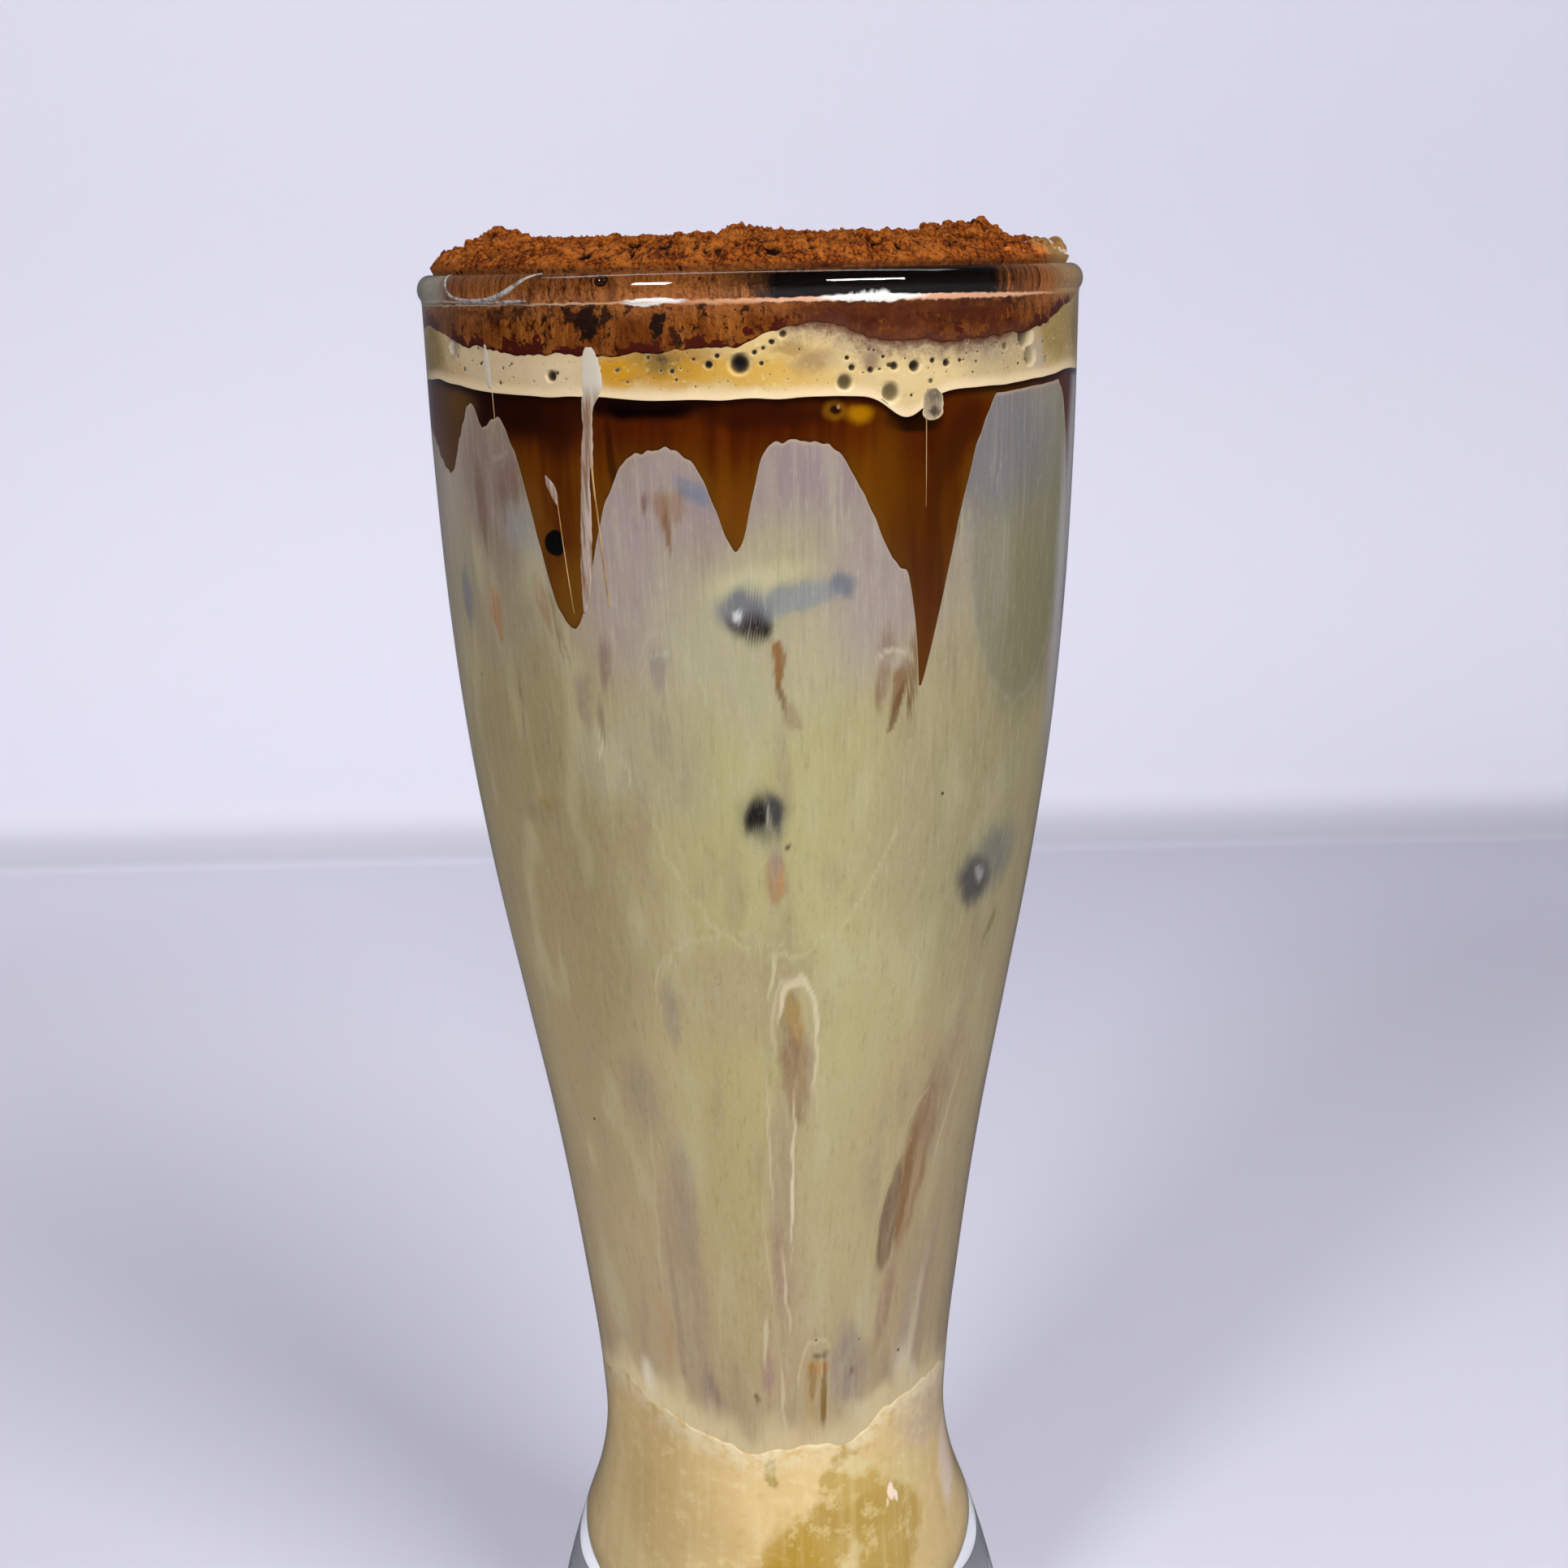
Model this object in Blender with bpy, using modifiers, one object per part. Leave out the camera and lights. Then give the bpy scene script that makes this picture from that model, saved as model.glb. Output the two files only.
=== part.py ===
"""Vietnamese iced coffee in a tall waisted glass: Blender 4.5, run with --background --python part.py.

The glass stands on the XY plane with its axis on +Z and its origin at the centre of the base. Sizes are
in millimetres until MM turns them into Blender's metres. Angles round the glass are in degrees: 0 faces
-Y, the front of the drink, and +90 faces +X.
"""

import bmesh
import bpy
import numpy as np
from mathutils import Vector, noise

MM = 0.001
MERGE_DISTANCE = 0.00005
CLEARANCE = 0.3

# Glass: the outer wall is a smooth curve through (height, radius) stations.
GLASS_HEIGHT = 192.0
OUTER_WALL = [
    (4.0, 31.0),
    (12.0, 30.5),
    (21.0, 28.6),
    (30.0, 26.0),
    (37.0, 23.6),
    (44.0, 22.4),
    (53.0, 22.7),
    (68.0, 24.4),
    (86.0, 27.0),
    (104.0, 30.3),
    (121.0, 33.4),
    (137.0, 35.7),
    (153.0, 37.2),
    (170.0, 38.1),
    (192.0, 38.6),
]
WAIST_HEIGHT = 44.0
WALL_AT_WAIST = 3.0
WALL_AT_LIP = 2.4
LIP_RADIUS = 37.5
LIP_HALF_WIDTH = 1.5
LIP_HALF_HEIGHT = 1.7
LIP_CENTRE = GLASS_HEIGHT - LIP_HALF_HEIGHT
LIP_INNER_ANGLE = 180
LIP_OUTER_ANGLE = -40
FLOOR_HEIGHT = 14.0
BOWL_HEIGHT = 12.0
BASE_EDGE_RADIUS = 30.6
BASE_EDGE_HEIGHT = 1.2
BASE_RING_OUTER = 29.4
BASE_RING_INNER = 24.0
PUNT_RADIUS = 20.0
PUNT_EDGE_DEPTH = 1.2
PUNT_DEPTH = 1.6
GLASS_IOR = 1.5
GLASS_SIDES = 64
BOWL_STEPS = 6
WALL_STEPS = 9
LIP_STEPS = 6

# Drink: layer levels at the wall, as base heights with bumps of (angle, rise, half-width).
LAYER_SIDES = 96
CONDENSED_FLOOR = FLOOR_HEIGHT + 1.0
CONDENSED_LEVEL = 51.0
CONDENSED_BUMPS = [(-62, 3.6, 22), (-8, -1.4, 14), (24, -1, 9), (60, 3.2, 18), (118, -2, 20), (172, 2.2, 24)]
FOAM_LEVEL = 179.3
FOAM_BUMPS = [(-72, 1.2, 16), (-4, -0.4, 20), (26, -2.6, 5), (72, 1.0, 16), (128, -1.2, 9), (178, -0.8, 16)]
COCOA_LEVEL = 184.2
COCOA_BUMPS = [(-74, 2.2, 12), (-30, -0.8, 18), (10, 2.4, 9), (88, 5.4, 26), (-160, 1.2, 14), (160, 1.0, 16)]

# A wavy face between two layers keeps its waves at the wall and is level within this share of the radius.
LEVEL_SHARE = 0.5
WAVY_RINGS = (0.8, LEVEL_SHARE)

# Milk rises through the coffee in lobes at the wall, and the coffee runs down between them. Each lobe is
# (centre, crown height, left reach, left fall, right reach, right fall, roundness of the crown).
MILK_LOBES = [
    (-150, 175.0, 17, 19.0, 19, 17.0, 1.3),
    (-112, 177.5, 19, 20.0, 16, 22.0, 1.4),
    (-82, 174.6, 14, 19.0, 15, 4.2, 1.2),
    (-56, 178.0, 11, 7.6, 3, 2.2, 1.1),
    (-49, 176.9, 4, 1.0, 15, 22.8, 1.1),
    (-15, 173.8, 19, 19.5, 11.5, 10.4, 1.8),
    (5, 174.7, 8, 11.0, 21, 14.5, 1.8),
    (24, 160.5, 9, 4.0, 5.4, 15.5, 3.0),
    (58, 180.6, 31, 36.5, 24, 33.0, 2.1),
    (98, 176.0, 15, 17.0, 17, 16.0, 1.2),
    (130, 178.5, 15, 22.0, 20, 21.0, 1.4),
    (172, 176.5, 21, 19.0, 17, 20.0, 1.3),
]
LOBE_DROP = 30
DEEPEST_DRIP = 143.0
MILK_MIDDLE = 172.0
THINNEST_COFFEE = 0.8

# Cocoa: a levelled heap that stands above the rim, with peaks of (x, y, rise, radius). It falls steeply at
# its edge, and gently at the angle of the dip, where foam meets the rim.
HEAP_EDGE = 37.4
HEAP_EDGE_RISE = 0.8
HEAP_RISE = 3.6
HEAP_PEAKS = [
    (-29, 4, 2.8, 4.8),
    (-14, -20, -0.6, 7.0),
    (0, -12, 1.2, 3.2),
    (12, -18, -0.4, 5.0),
    (26, 2, 4.6, 4.8),
    (8, 22, 0.4, 7.0),
    (-16, 24, 0.6, 6.0),
    (20, 24, -1.2, 7.0),
]
STEEP_EDGE_POWER = 14
GENTLE_EDGE_POWER = 4
DIP_ANGLE = 88
DIP_WIDTH = 26
CRAG_SIZE = 6.5
CRAG_RISE = 0.8

COLOURS = {
    "glass": ((0.86, 0.90, 0.90), 0.03),
    "condensed_milk": ((0.72, 0.55, 0.27), 0.35),
    "milk_coffee": ((0.56, 0.50, 0.36), 0.35),
    "black_coffee": ((0.19, 0.07, 0.01), 0.20),
    "crema_foam": ((0.80, 0.62, 0.33), 0.45),
    "cocoa_powder": ((0.27, 0.10, 0.04), 0.95),
}


def clear_scene():
    for item in list(bpy.data.objects):
        bpy.data.objects.remove(item, do_unlink=True)


def smooth_curve(stations, x):
    """Value at x of the smooth curve through (position, value) stations."""
    at, value = np.array(stations, float).T
    slope = np.gradient(value, at)
    i = np.clip(np.searchsorted(at, x) - 1, 0, len(at) - 2)
    span = at[i + 1] - at[i]
    t = np.clip((x - at[i]) / span, 0, 1)
    start = value[i] * (1 + 2 * t) + slope[i] * span * t
    end = value[i + 1] * (3 - 2 * t) - slope[i + 1] * span * (1 - t)
    return start * (1 - t) ** 2 + end * t**2


def angle_between(angle, centre):
    """Signed turn from centre to angle, from -180 to 180."""
    return (angle - centre + 180) % 360 - 180


def level(base, bumps, angle):
    """Height of a layer's edge at an angle round the wall."""
    return base + sum(rise * np.exp(-((angle_between(angle, at) / width) ** 2)) for at, rise, width in bumps)


def outer_radius(height):
    return smooth_curve(OUTER_WALL, height)


def cavity_radius(height):
    """Inside of the glass: the wall's inner face, the rounded floor and the inside of the lip."""
    share = (height - WAIST_HEIGHT) / (GLASS_HEIGHT - WAIST_HEIGHT)
    thickness = WALL_AT_WAIST + (WALL_AT_LIP - WALL_AT_WAIST) * np.clip(share, 0, 1)
    radius = outer_radius(max(height, WAIST_HEIGHT)) - thickness
    rise = np.clip((height - FLOOR_HEIGHT) / BOWL_HEIGHT, 0, 1)
    radius *= np.sqrt(1 - (1 - rise) ** 2)
    above = (height - LIP_CENTRE) / LIP_HALF_HEIGHT
    if abs(above) < 1:
        radius = min(radius, LIP_RADIUS - LIP_HALF_WIDTH * np.sqrt(1 - above**2))
    return radius


def content_radius(height):
    """Outside of what fills the glass: clear of the cavity, then over the lip's crown to the heap's edge."""
    if height <= LIP_CENTRE:
        return min(cavity_radius(height), cavity_radius(height - CLEARANCE)) - CLEARANCE
    above = min((height - LIP_CENTRE) / (LIP_HALF_HEIGHT + CLEARANCE), 1)
    over_lip = LIP_RADIUS - (LIP_HALF_WIDTH + CLEARANCE) * np.sqrt(1 - above**2)
    return min(over_lip, HEAP_EDGE)


def condensed_top(angle):
    return level(CONDENSED_LEVEL, CONDENSED_BUMPS, angle)


def foam_bottom(angle):
    return level(FOAM_LEVEL, FOAM_BUMPS, angle)


def cocoa_bottom(angle):
    return min(level(COCOA_LEVEL, COCOA_BUMPS, angle), LIP_CENTRE - CLEARANCE)


def smooth_step(share):
    return share * share * (3 - 2 * share)


def milk_top(angle):
    """Edge between milk and coffee at the wall: the highest of the lobes, and never into the foam."""
    heights = [DEEPEST_DRIP]
    for centre, crown, left, left_fall, right, right_fall, power in MILK_LOBES:
        turn = angle_between(angle, centre)
        reach, fall = (left, left_fall) if turn < 0 else (right, right_fall)
        away = abs(turn) / reach
        fallen = smooth_step(min(away, 1) ** power) + LOBE_DROP * max(away - 1, 0) ** 2
        heights.append(crown - fall * fallen)
    return min(max(heights), foam_bottom(angle) - THINNEST_COFFEE - CLEARANCE)


def towards_middle(edge, middle, share):
    """A surface that follows edge at the wall and settles at middle well inside it."""
    fade = np.clip((share - LEVEL_SHARE) / (1 - LEVEL_SHARE), 0, 1)
    return middle + (edge - middle) * smooth_step(fade)


def heap_top(angle, share):
    """Upper face of the cocoa, with its peaks and crags."""
    turn = np.radians(angle)
    x, y = HEAP_EDGE * share * np.sin(turn), -HEAP_EDGE * share * np.cos(turn)
    rise = HEAP_RISE + sum(
        up * np.exp(-((x - px) ** 2 + (y - py) ** 2) / radius**2) for px, py, up, radius in HEAP_PEAKS
    )
    rise += CRAG_RISE * noise.noise(Vector((x, y, 0)) / CRAG_SIZE)
    dip = np.exp(-((angle_between(angle, DIP_ANGLE) / DIP_WIDTH) ** 2))
    power = STEEP_EDGE_POWER + (GENTLE_EDGE_POWER - STEEP_EDGE_POWER) * dip
    return GLASS_HEIGHT + HEAP_EDGE_RISE + (rise - HEAP_EDGE_RISE) * (1 - share**power)


def material(name):
    colour, roughness = COLOURS[name]
    made = bpy.data.materials.new(name)
    made.use_nodes = True
    shader = made.node_tree.nodes["Principled BSDF"]
    shader.inputs["Base Color"].default_value = (*colour, 1)
    shader.inputs["Roughness"].default_value = roughness
    shader.inputs["Metallic"].default_value = 0
    if name == "glass":
        shader.inputs["Transmission Weight"].default_value = 1
        shader.inputs["IOR"].default_value = GLASS_IOR
    return made


def turned(name, profile, sides, collection):
    """Object with a profile of (radius, height) points turned about Z by a Screw modifier."""
    mesh = bpy.data.meshes.new(name)
    edges = [(i, i + 1) for i in range(len(profile) - 1)]
    mesh.from_pydata([(radius, 0, height) for radius, height in profile], edges, [])
    mesh.materials.append(material(name))
    made = bpy.data.objects.new(name, mesh)
    collection.objects.link(made)
    screw = made.modifiers.new("Turn", "SCREW")
    screw.steps = sides
    screw.render_steps = sides
    screw.use_merge_vertices = True
    screw.merge_threshold = MERGE_DISTANCE
    screw.use_smooth_shade = True
    return made


def inside_profile():
    """From the middle of the rounded floor up to the lip."""
    turns = np.linspace(0, np.pi / 2, BOWL_STEPS + 1)
    bowl = FLOOR_HEIGHT + BOWL_HEIGHT * (1 - np.cos(turns))
    wall = np.linspace(FLOOR_HEIGHT + BOWL_HEIGHT, LIP_CENTRE - LIP_HALF_HEIGHT, WALL_STEPS + 1)
    return [(cavity_radius(height), height) for height in [*bowl, *wall[1:]]]


def lip_profile():
    """Over the rounded lip, from its inner side to where it meets the outer wall."""
    turns = np.radians(np.linspace(LIP_INNER_ANGLE, LIP_OUTER_ANGLE, LIP_STEPS + 1))
    return [
        (LIP_RADIUS + LIP_HALF_WIDTH * np.cos(turn), LIP_CENTRE + LIP_HALF_HEIGHT * np.sin(turn))
        for turn in turns
    ]


def outside_profile():
    """Down the outer wall through its stations, and halfway between them below the waist."""
    stations = [height for height, radius in OUTER_WALL if height < LIP_CENTRE - LIP_HALF_HEIGHT]
    halfway = [(low + high) / 2 for low, high in zip(stations, stations[1:]) if high <= WAIST_HEIGHT]
    return [(outer_radius(height), height) for height in sorted(stations + halfway, reverse=True)]


def base_profile():
    """Round the base's edge, across the ring it stands on and under the punt to the middle."""
    return [
        (BASE_EDGE_RADIUS, BASE_EDGE_HEIGHT),
        (BASE_RING_OUTER, 0),
        (BASE_RING_INNER, 0),
        (PUNT_RADIUS, PUNT_EDGE_DEPTH),
        (0, PUNT_DEPTH),
    ]


def build_glass(collection):
    profile = inside_profile() + lip_profile() + outside_profile() + base_profile()
    turned("glass", [(radius * MM, height * MM) for radius, height in profile], GLASS_SIDES, collection)


def drum_profile(top_rings, rows, bottom_rings):
    """Section of a drum of radius 1 and height 1, from the middle of its top to the middle of its bottom."""
    top = [(ring, 1) for ring in (0, *reversed(top_rings), 1)]
    side = [(1, row) for row in reversed(rows)]
    bottom = [(ring, 0) for ring in (1, *bottom_rings, 0)]
    return top + side + bottom


def placed(point, bottom, top):
    """Place in the glass of a drum's point: its radius follows the wall and its height lies between faces."""
    x, y, rise = point
    share = np.hypot(x, y)
    turn = np.arctan2(x, -y)
    angle = np.degrees(turn)
    low, high = bottom(angle, share), top(angle, share)
    wall_low, wall_high = bottom(angle, 1), top(angle, 1)
    radius = share * content_radius(wall_low + rise * (wall_high - wall_low))
    return Vector((radius * np.sin(turn), -radius * np.cos(turn), low + rise * (high - low))) * MM


def layer(name, bottom, top, collection, top_rings=(), rows=(), bottom_rings=()):
    """Solid between two faces inside the glass, shaped from a turned drum. bottom and top give a face's
    height for an angle and a share of the radius."""
    drum = turned(name, drum_profile(top_rings, rows, bottom_rings), LAYER_SIDES, collection)
    graph = bpy.context.evaluated_depsgraph_get()
    mesh = bpy.data.meshes.new_from_object(drum.evaluated_get(graph))
    drum.modifiers.clear()
    drum.data = mesh
    for vertex in mesh.vertices:
        vertex.co = placed(vertex.co, bottom, top)
    work = bmesh.new()
    work.from_mesh(mesh)
    bmesh.ops.triangulate(work, faces=work.faces, quad_method="SHORT_EDGE")
    work.to_mesh(mesh)
    work.free()


def build_condensed_milk(collection):
    """Thick sweet milk that settled in the waist."""
    layer(
        "condensed_milk",
        lambda angle, share: CONDENSED_FLOOR,
        lambda angle, share: towards_middle(condensed_top(angle), CONDENSED_LEVEL, share),
        collection,
        top_rings=WAVY_RINGS,
        rows=(0.06, 0.16, 0.33, 0.66),
    )


def build_milk_coffee(collection):
    """Pale milk and coffee from the waist up to the lobes that rise at the wall."""
    layer(
        "milk_coffee",
        lambda angle, share: towards_middle(condensed_top(angle), CONDENSED_LEVEL, share) + CLEARANCE,
        lambda angle, share: towards_middle(milk_top(angle), MILK_MIDDLE, share),
        collection,
        top_rings=WAVY_RINGS,
        rows=(0.16, 0.34, 0.53, 0.72, 0.87),
        bottom_rings=WAVY_RINGS,
    )


def build_black_coffee(collection):
    """Dark coffee between the milk's lobes and the foam."""
    layer(
        "black_coffee",
        lambda angle, share: towards_middle(milk_top(angle), MILK_MIDDLE, share) + CLEARANCE,
        lambda angle, share: foam_bottom(angle) - CLEARANCE,
        collection,
        rows=(0.5,),
        bottom_rings=WAVY_RINGS,
    )


def build_crema_foam(collection):
    """Foam under the cocoa, which comes up to the lip on the right."""
    layer(
        "crema_foam",
        lambda angle, share: foam_bottom(angle),
        lambda angle, share: towards_middle(cocoa_bottom(angle), COCOA_LEVEL, share) - CLEARANCE,
        collection,
        top_rings=WAVY_RINGS,
        rows=(0.5,),
    )


def build_cocoa_powder(collection):
    """Heap of cocoa from the foam up over the rim."""
    layer(
        "cocoa_powder",
        lambda angle, share: towards_middle(cocoa_bottom(angle), COCOA_LEVEL, share),
        heap_top,
        collection,
        top_rings=(0.965, 0.88, 0.74, 0.58, 0.4, 0.2),
        rows=(0.45, 0.75, 0.92),
        bottom_rings=WAVY_RINGS,
    )


def build():
    clear_scene()
    drink = bpy.data.collections.new("iced_coffee")
    bpy.context.scene.collection.children.link(drink)
    build_glass(drink)
    build_condensed_milk(drink)
    build_milk_coffee(drink)
    build_black_coffee(drink)
    build_crema_foam(drink)
    build_cocoa_powder(drink)


build()
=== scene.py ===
"""Looks of a vietnamese iced coffee: the glass, its layered drink and the cocoa heaped on it.

Sizes are in millimetres and angles round the glass in degrees, 0 towards the camera and +90 to the right,
until MM turns them into Blender's metres. Colours are named by their 0 to 255 display values.
"""

import bpy
import numpy as np
from mathutils import Matrix, Vector, noise


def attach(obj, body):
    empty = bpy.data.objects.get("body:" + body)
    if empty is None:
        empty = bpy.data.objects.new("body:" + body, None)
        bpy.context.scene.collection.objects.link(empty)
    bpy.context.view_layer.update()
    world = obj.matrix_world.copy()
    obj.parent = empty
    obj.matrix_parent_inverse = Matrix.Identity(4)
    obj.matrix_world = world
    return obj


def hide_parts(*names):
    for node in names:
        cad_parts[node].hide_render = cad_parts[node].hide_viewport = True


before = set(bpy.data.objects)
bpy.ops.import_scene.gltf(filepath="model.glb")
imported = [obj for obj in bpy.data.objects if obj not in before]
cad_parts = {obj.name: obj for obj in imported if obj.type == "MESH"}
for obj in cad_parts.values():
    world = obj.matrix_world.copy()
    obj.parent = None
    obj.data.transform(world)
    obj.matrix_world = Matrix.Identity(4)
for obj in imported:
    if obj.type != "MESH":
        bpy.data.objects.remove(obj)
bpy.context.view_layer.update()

MM = 0.001
SEED = 7
SEED_STRIDE = 17.3
BODY = "root"

# Glass, as in the frame: the outer wall is a smooth curve through (height, radius) stations.
GLASS_HEIGHT = 192.0
OUTER_WALL = [
    (4.0, 31.0),
    (12.0, 30.5),
    (21.0, 28.6),
    (30.0, 26.0),
    (37.0, 23.6),
    (44.0, 22.4),
    (53.0, 22.7),
    (68.0, 24.4),
    (86.0, 27.0),
    (104.0, 30.3),
    (121.0, 33.4),
    (137.0, 35.7),
    (153.0, 37.2),
    (170.0, 38.1),
    (192.0, 38.6),
]
WAIST_HEIGHT = 44.0
WALL_AT_WAIST = 3.0
WALL_AT_LIP = 2.4
LIP_RADIUS = 37.5
# A hair under the frame's 1.5, so that the lip lies inside the frame's box
LIP_HALF_WIDTH = 1.496
LIP_HALF_HEIGHT = 1.7
LIP_CENTRE = GLASS_HEIGHT - LIP_HALF_HEIGHT
FLOOR_HEIGHT = 14.0
BOWL_HEIGHT = 12.0
BASE_EDGE = [(30.9, 3.0), (30.6, 1.6), (30.1, 0.6), (29.4, 0.0)]
BASE_RING_INNER = 24.0
LOWEST_WALL = 4.0
LIP_TURN_END = -42
BOWL_STEPS = 24
LIP_STEPS = 28
PUNT = [(22.5, 0.5), (20.0, 1.2), (10.0, 1.5), (0.0, 1.6)]
GLASS_SIDES = 256
WALL_STEP = 1.4

# Layers of the drink, as in the frame: levels at the wall with bumps of (angle, rise, half-width).
CONDENSED_LEVEL = 51.0
CONDENSED_BUMPS = [(-62, 3.6, 22), (-8, -1.4, 14), (24, -1, 9), (60, 3.2, 18), (118, -2, 20), (172, 2.2, 24)]
FOAM_LEVEL = 179.3
FOAM_BUMPS = [(-72, 1.2, 16), (-4, -0.4, 20), (26, -2.6, 5), (72, 1.0, 16), (128, -1.2, 9), (178, -0.8, 16)]
COCOA_LEVEL = 184.2
COCOA_BUMPS = [(-74, 2.2, 12), (-30, -0.8, 18), (10, 2.4, 9), (88, 5.4, 26), (-160, 1.2, 14), (160, 1.0, 16)]
# Milk lobes: (angle, crown, left reach, left fall, right reach, right fall, roundness of the crown)
MILK_LOBES = [
    (-150, 175.0, 17, 19.0, 19, 17.0, 1.3),
    (-112, 177.5, 19, 20.0, 16, 22.0, 1.4),
    (-82, 174.6, 14, 19.0, 15, 4.2, 1.2),
    (-56, 178.0, 11, 7.6, 3, 2.2, 1.1),
    (-49, 176.9, 4, 1.0, 15, 22.8, 1.1),
    (-15, 173.8, 19, 19.5, 11.5, 10.4, 1.8),
    (5, 174.7, 8, 11.0, 21, 14.5, 1.8),
    (24, 160.5, 9, 4.0, 5.4, 15.5, 3.0),
    (58, 180.6, 31, 36.5, 24, 33.0, 2.1),
    (98, 176.0, 15, 17.0, 17, 16.0, 1.2),
    (130, 178.5, 15, 22.0, 20, 21.0, 1.4),
    (172, 176.5, 21, 19.0, 17, 20.0, 1.3),
]
LOBE_DROP = 30
DEEPEST_DRIP = 143.0
THINNEST_COFFEE = 0.8
COCOA_BELOW_LIP = 0.3
LEVEL_SHARE = 0.5
MIDDLE_LEVELS = {"condensed": CONDENSED_LEVEL, "milk": 172.0, "foam": FOAM_LEVEL, "cocoa": COCOA_LEVEL}

# Cocoa heap, as in the frame but with slimmer knobs: peaks of (x, y, rise, radius).
HEAP_EDGE = 37.4
HEAP_EDGE_RISE = 0.8
HEAP_RISE = 3.6
HEAP_PEAKS = [
    (-30, 4, 1.9, 3.6),
    (-14, -20, -0.6, 7.0),
    (0, -12, 1.2, 3.2),
    (12, -18, -0.4, 5.0),
    (27.8, 2, 3.3, 1.9),
    (23.5, 2, 1.9, 3.6),
    (8, 22, 0.4, 7.0),
    (-16, 24, 0.6, 6.0),
    (20, 24, -1.2, 7.0),
]
STEEP_EDGE_POWER = 14
GENTLE_EDGE_POWER = 4
DIP_ANGLE = 88
DIP_WIDTH = 26
HEAP_CEILING = 197.6

# What fills the glass reaches this far into the wall, so that no air gap shows. Each layer lies a hair
# over the one below it, which runs on a little behind it.
REACH = {"condensed": 0.11, "milk": 0.13, "coffee": 0.15, "foam": 0.17, "cocoa": 0.19, "threads": 0.22}
RUN_ON = 0.4

# Tint and refraction of the glass, and of the film of the bubbles at its rim.
GLASS_TINT = (250, 253, 252)
GLASS_IOR = 1.5
BUBBLE_TINT = (252, 246, 236)
BUBBLE_IOR = 1.06

# Under this light a piece shows its display colours when its base colour is this share of them.
SHADE = {"condensed": 0.68, "milk": 0.53, "coffee": 0.42, "foam": 0.55, "cocoa": 0.52}

# Rows of points up the layers' sides and rings across the heap.
CONDENSED_ROWS = 60
COFFEE_ROWS = 56
FOAM_ROWS = 52
COCOA_ROWS = 22
HEAP_RINGS = 122

# Columns of points round the drink: close together in front, wider apart behind.
FRONT_EDGE = 100
FRONT_STEP = 0.4
BACK_STEP = 1.0
COLUMNS = np.concatenate([
    np.arange(-FRONT_EDGE, FRONT_EDGE, FRONT_STEP),
    np.arange(FRONT_EDGE, 360 - FRONT_EDGE, BACK_STEP),
])

# The milk is painted point by point, so its points lie closer together in height and wider apart behind.
MILK_ROWS = 214
MILK_FRONT_EDGE = 95
MILK_FRONT_STEP = 0.5
MILK_BACK_STEP = 3.0
MILK_COLUMNS = np.concatenate([
    np.arange(-MILK_FRONT_EDGE, MILK_FRONT_EDGE, MILK_FRONT_STEP),
    np.arange(MILK_FRONT_EDGE, 360 - MILK_FRONT_EDGE, MILK_BACK_STEP),
])
# Share of a side's height between its edge and the next row, so that shading bends only right at the edge.
CREASE = 0.0003

# Painted shapes measure the way round the wall in millimetres, at this many to the degree.
ARC = 0.576

# Camera, fitted to the photograph: lens for a 36 mm sensor, place, and turns in degrees.
LENS = 50.31
CAMERA_PLACE = (0, -265.97, 192.06)
CAMERA_PITCH = 13.255
CAMERA_YAW = 0.6
CAMERA_ROLL = -1.15


def srgb(red, green, blue):
    """Linear colour of a display colour given as 0 to 255."""
    value = np.array([red, green, blue]) / 255
    linear = np.where(value <= 0.04045, value / 12.92, ((value + 0.055) / 1.055) ** 2.4)
    return (*linear.tolist(), 1)


def smooth_curve(stations, x):
    """Value at x of the smooth curve through (position, value) stations."""
    at, value = np.array(stations, float).T
    slope = np.gradient(value, at)
    i = np.clip(np.searchsorted(at, x) - 1, 0, len(at) - 2)
    span = at[i + 1] - at[i]
    t = np.clip((x - at[i]) / span, 0, 1)
    start = value[i] * (1 + 2 * t) + slope[i] * span * t
    end = value[i + 1] * (3 - 2 * t) - slope[i + 1] * span * (1 - t)
    return start * (1 - t) ** 2 + end * t**2


def smooth_step(value, low, high):
    t = np.clip((value - low) / (high - low), 0, 1)
    return t * t * (3 - 2 * t)


def angle_between(angle, centre):
    """Signed turn from centre to angle, from -180 to 180."""
    return (angle - centre + 180) % 360 - 180


def bump(angle, centre, width):
    return np.exp(-((angle_between(angle, centre) / width) ** 2))


def level(base, bumps, angle):
    return base + sum(rise * bump(angle, at, width) for at, rise, width in bumps)


def noise_at(spots, seed):
    """Smooth noise at an array of places, about -1 to 1. Each seed looks at another part of the noise."""
    flat = spots.reshape(-1, 3) + seed * SEED_STRIDE
    return np.array([noise.noise(Vector(spot)) for spot in flat]).reshape(spots.shape[:-1])


def wall_noise(angle, height, size, seed=0):
    """Noise over the glass's wall with features of a size in millimetres."""
    turn = np.radians(angle)
    radius = outer_radius(height)
    spots = np.stack([radius * np.sin(turn), -radius * np.cos(turn), height + 0 * turn], -1) / size
    return noise_at(spots, seed)


def outer_radius(height):
    return smooth_curve(OUTER_WALL, height)


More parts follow.
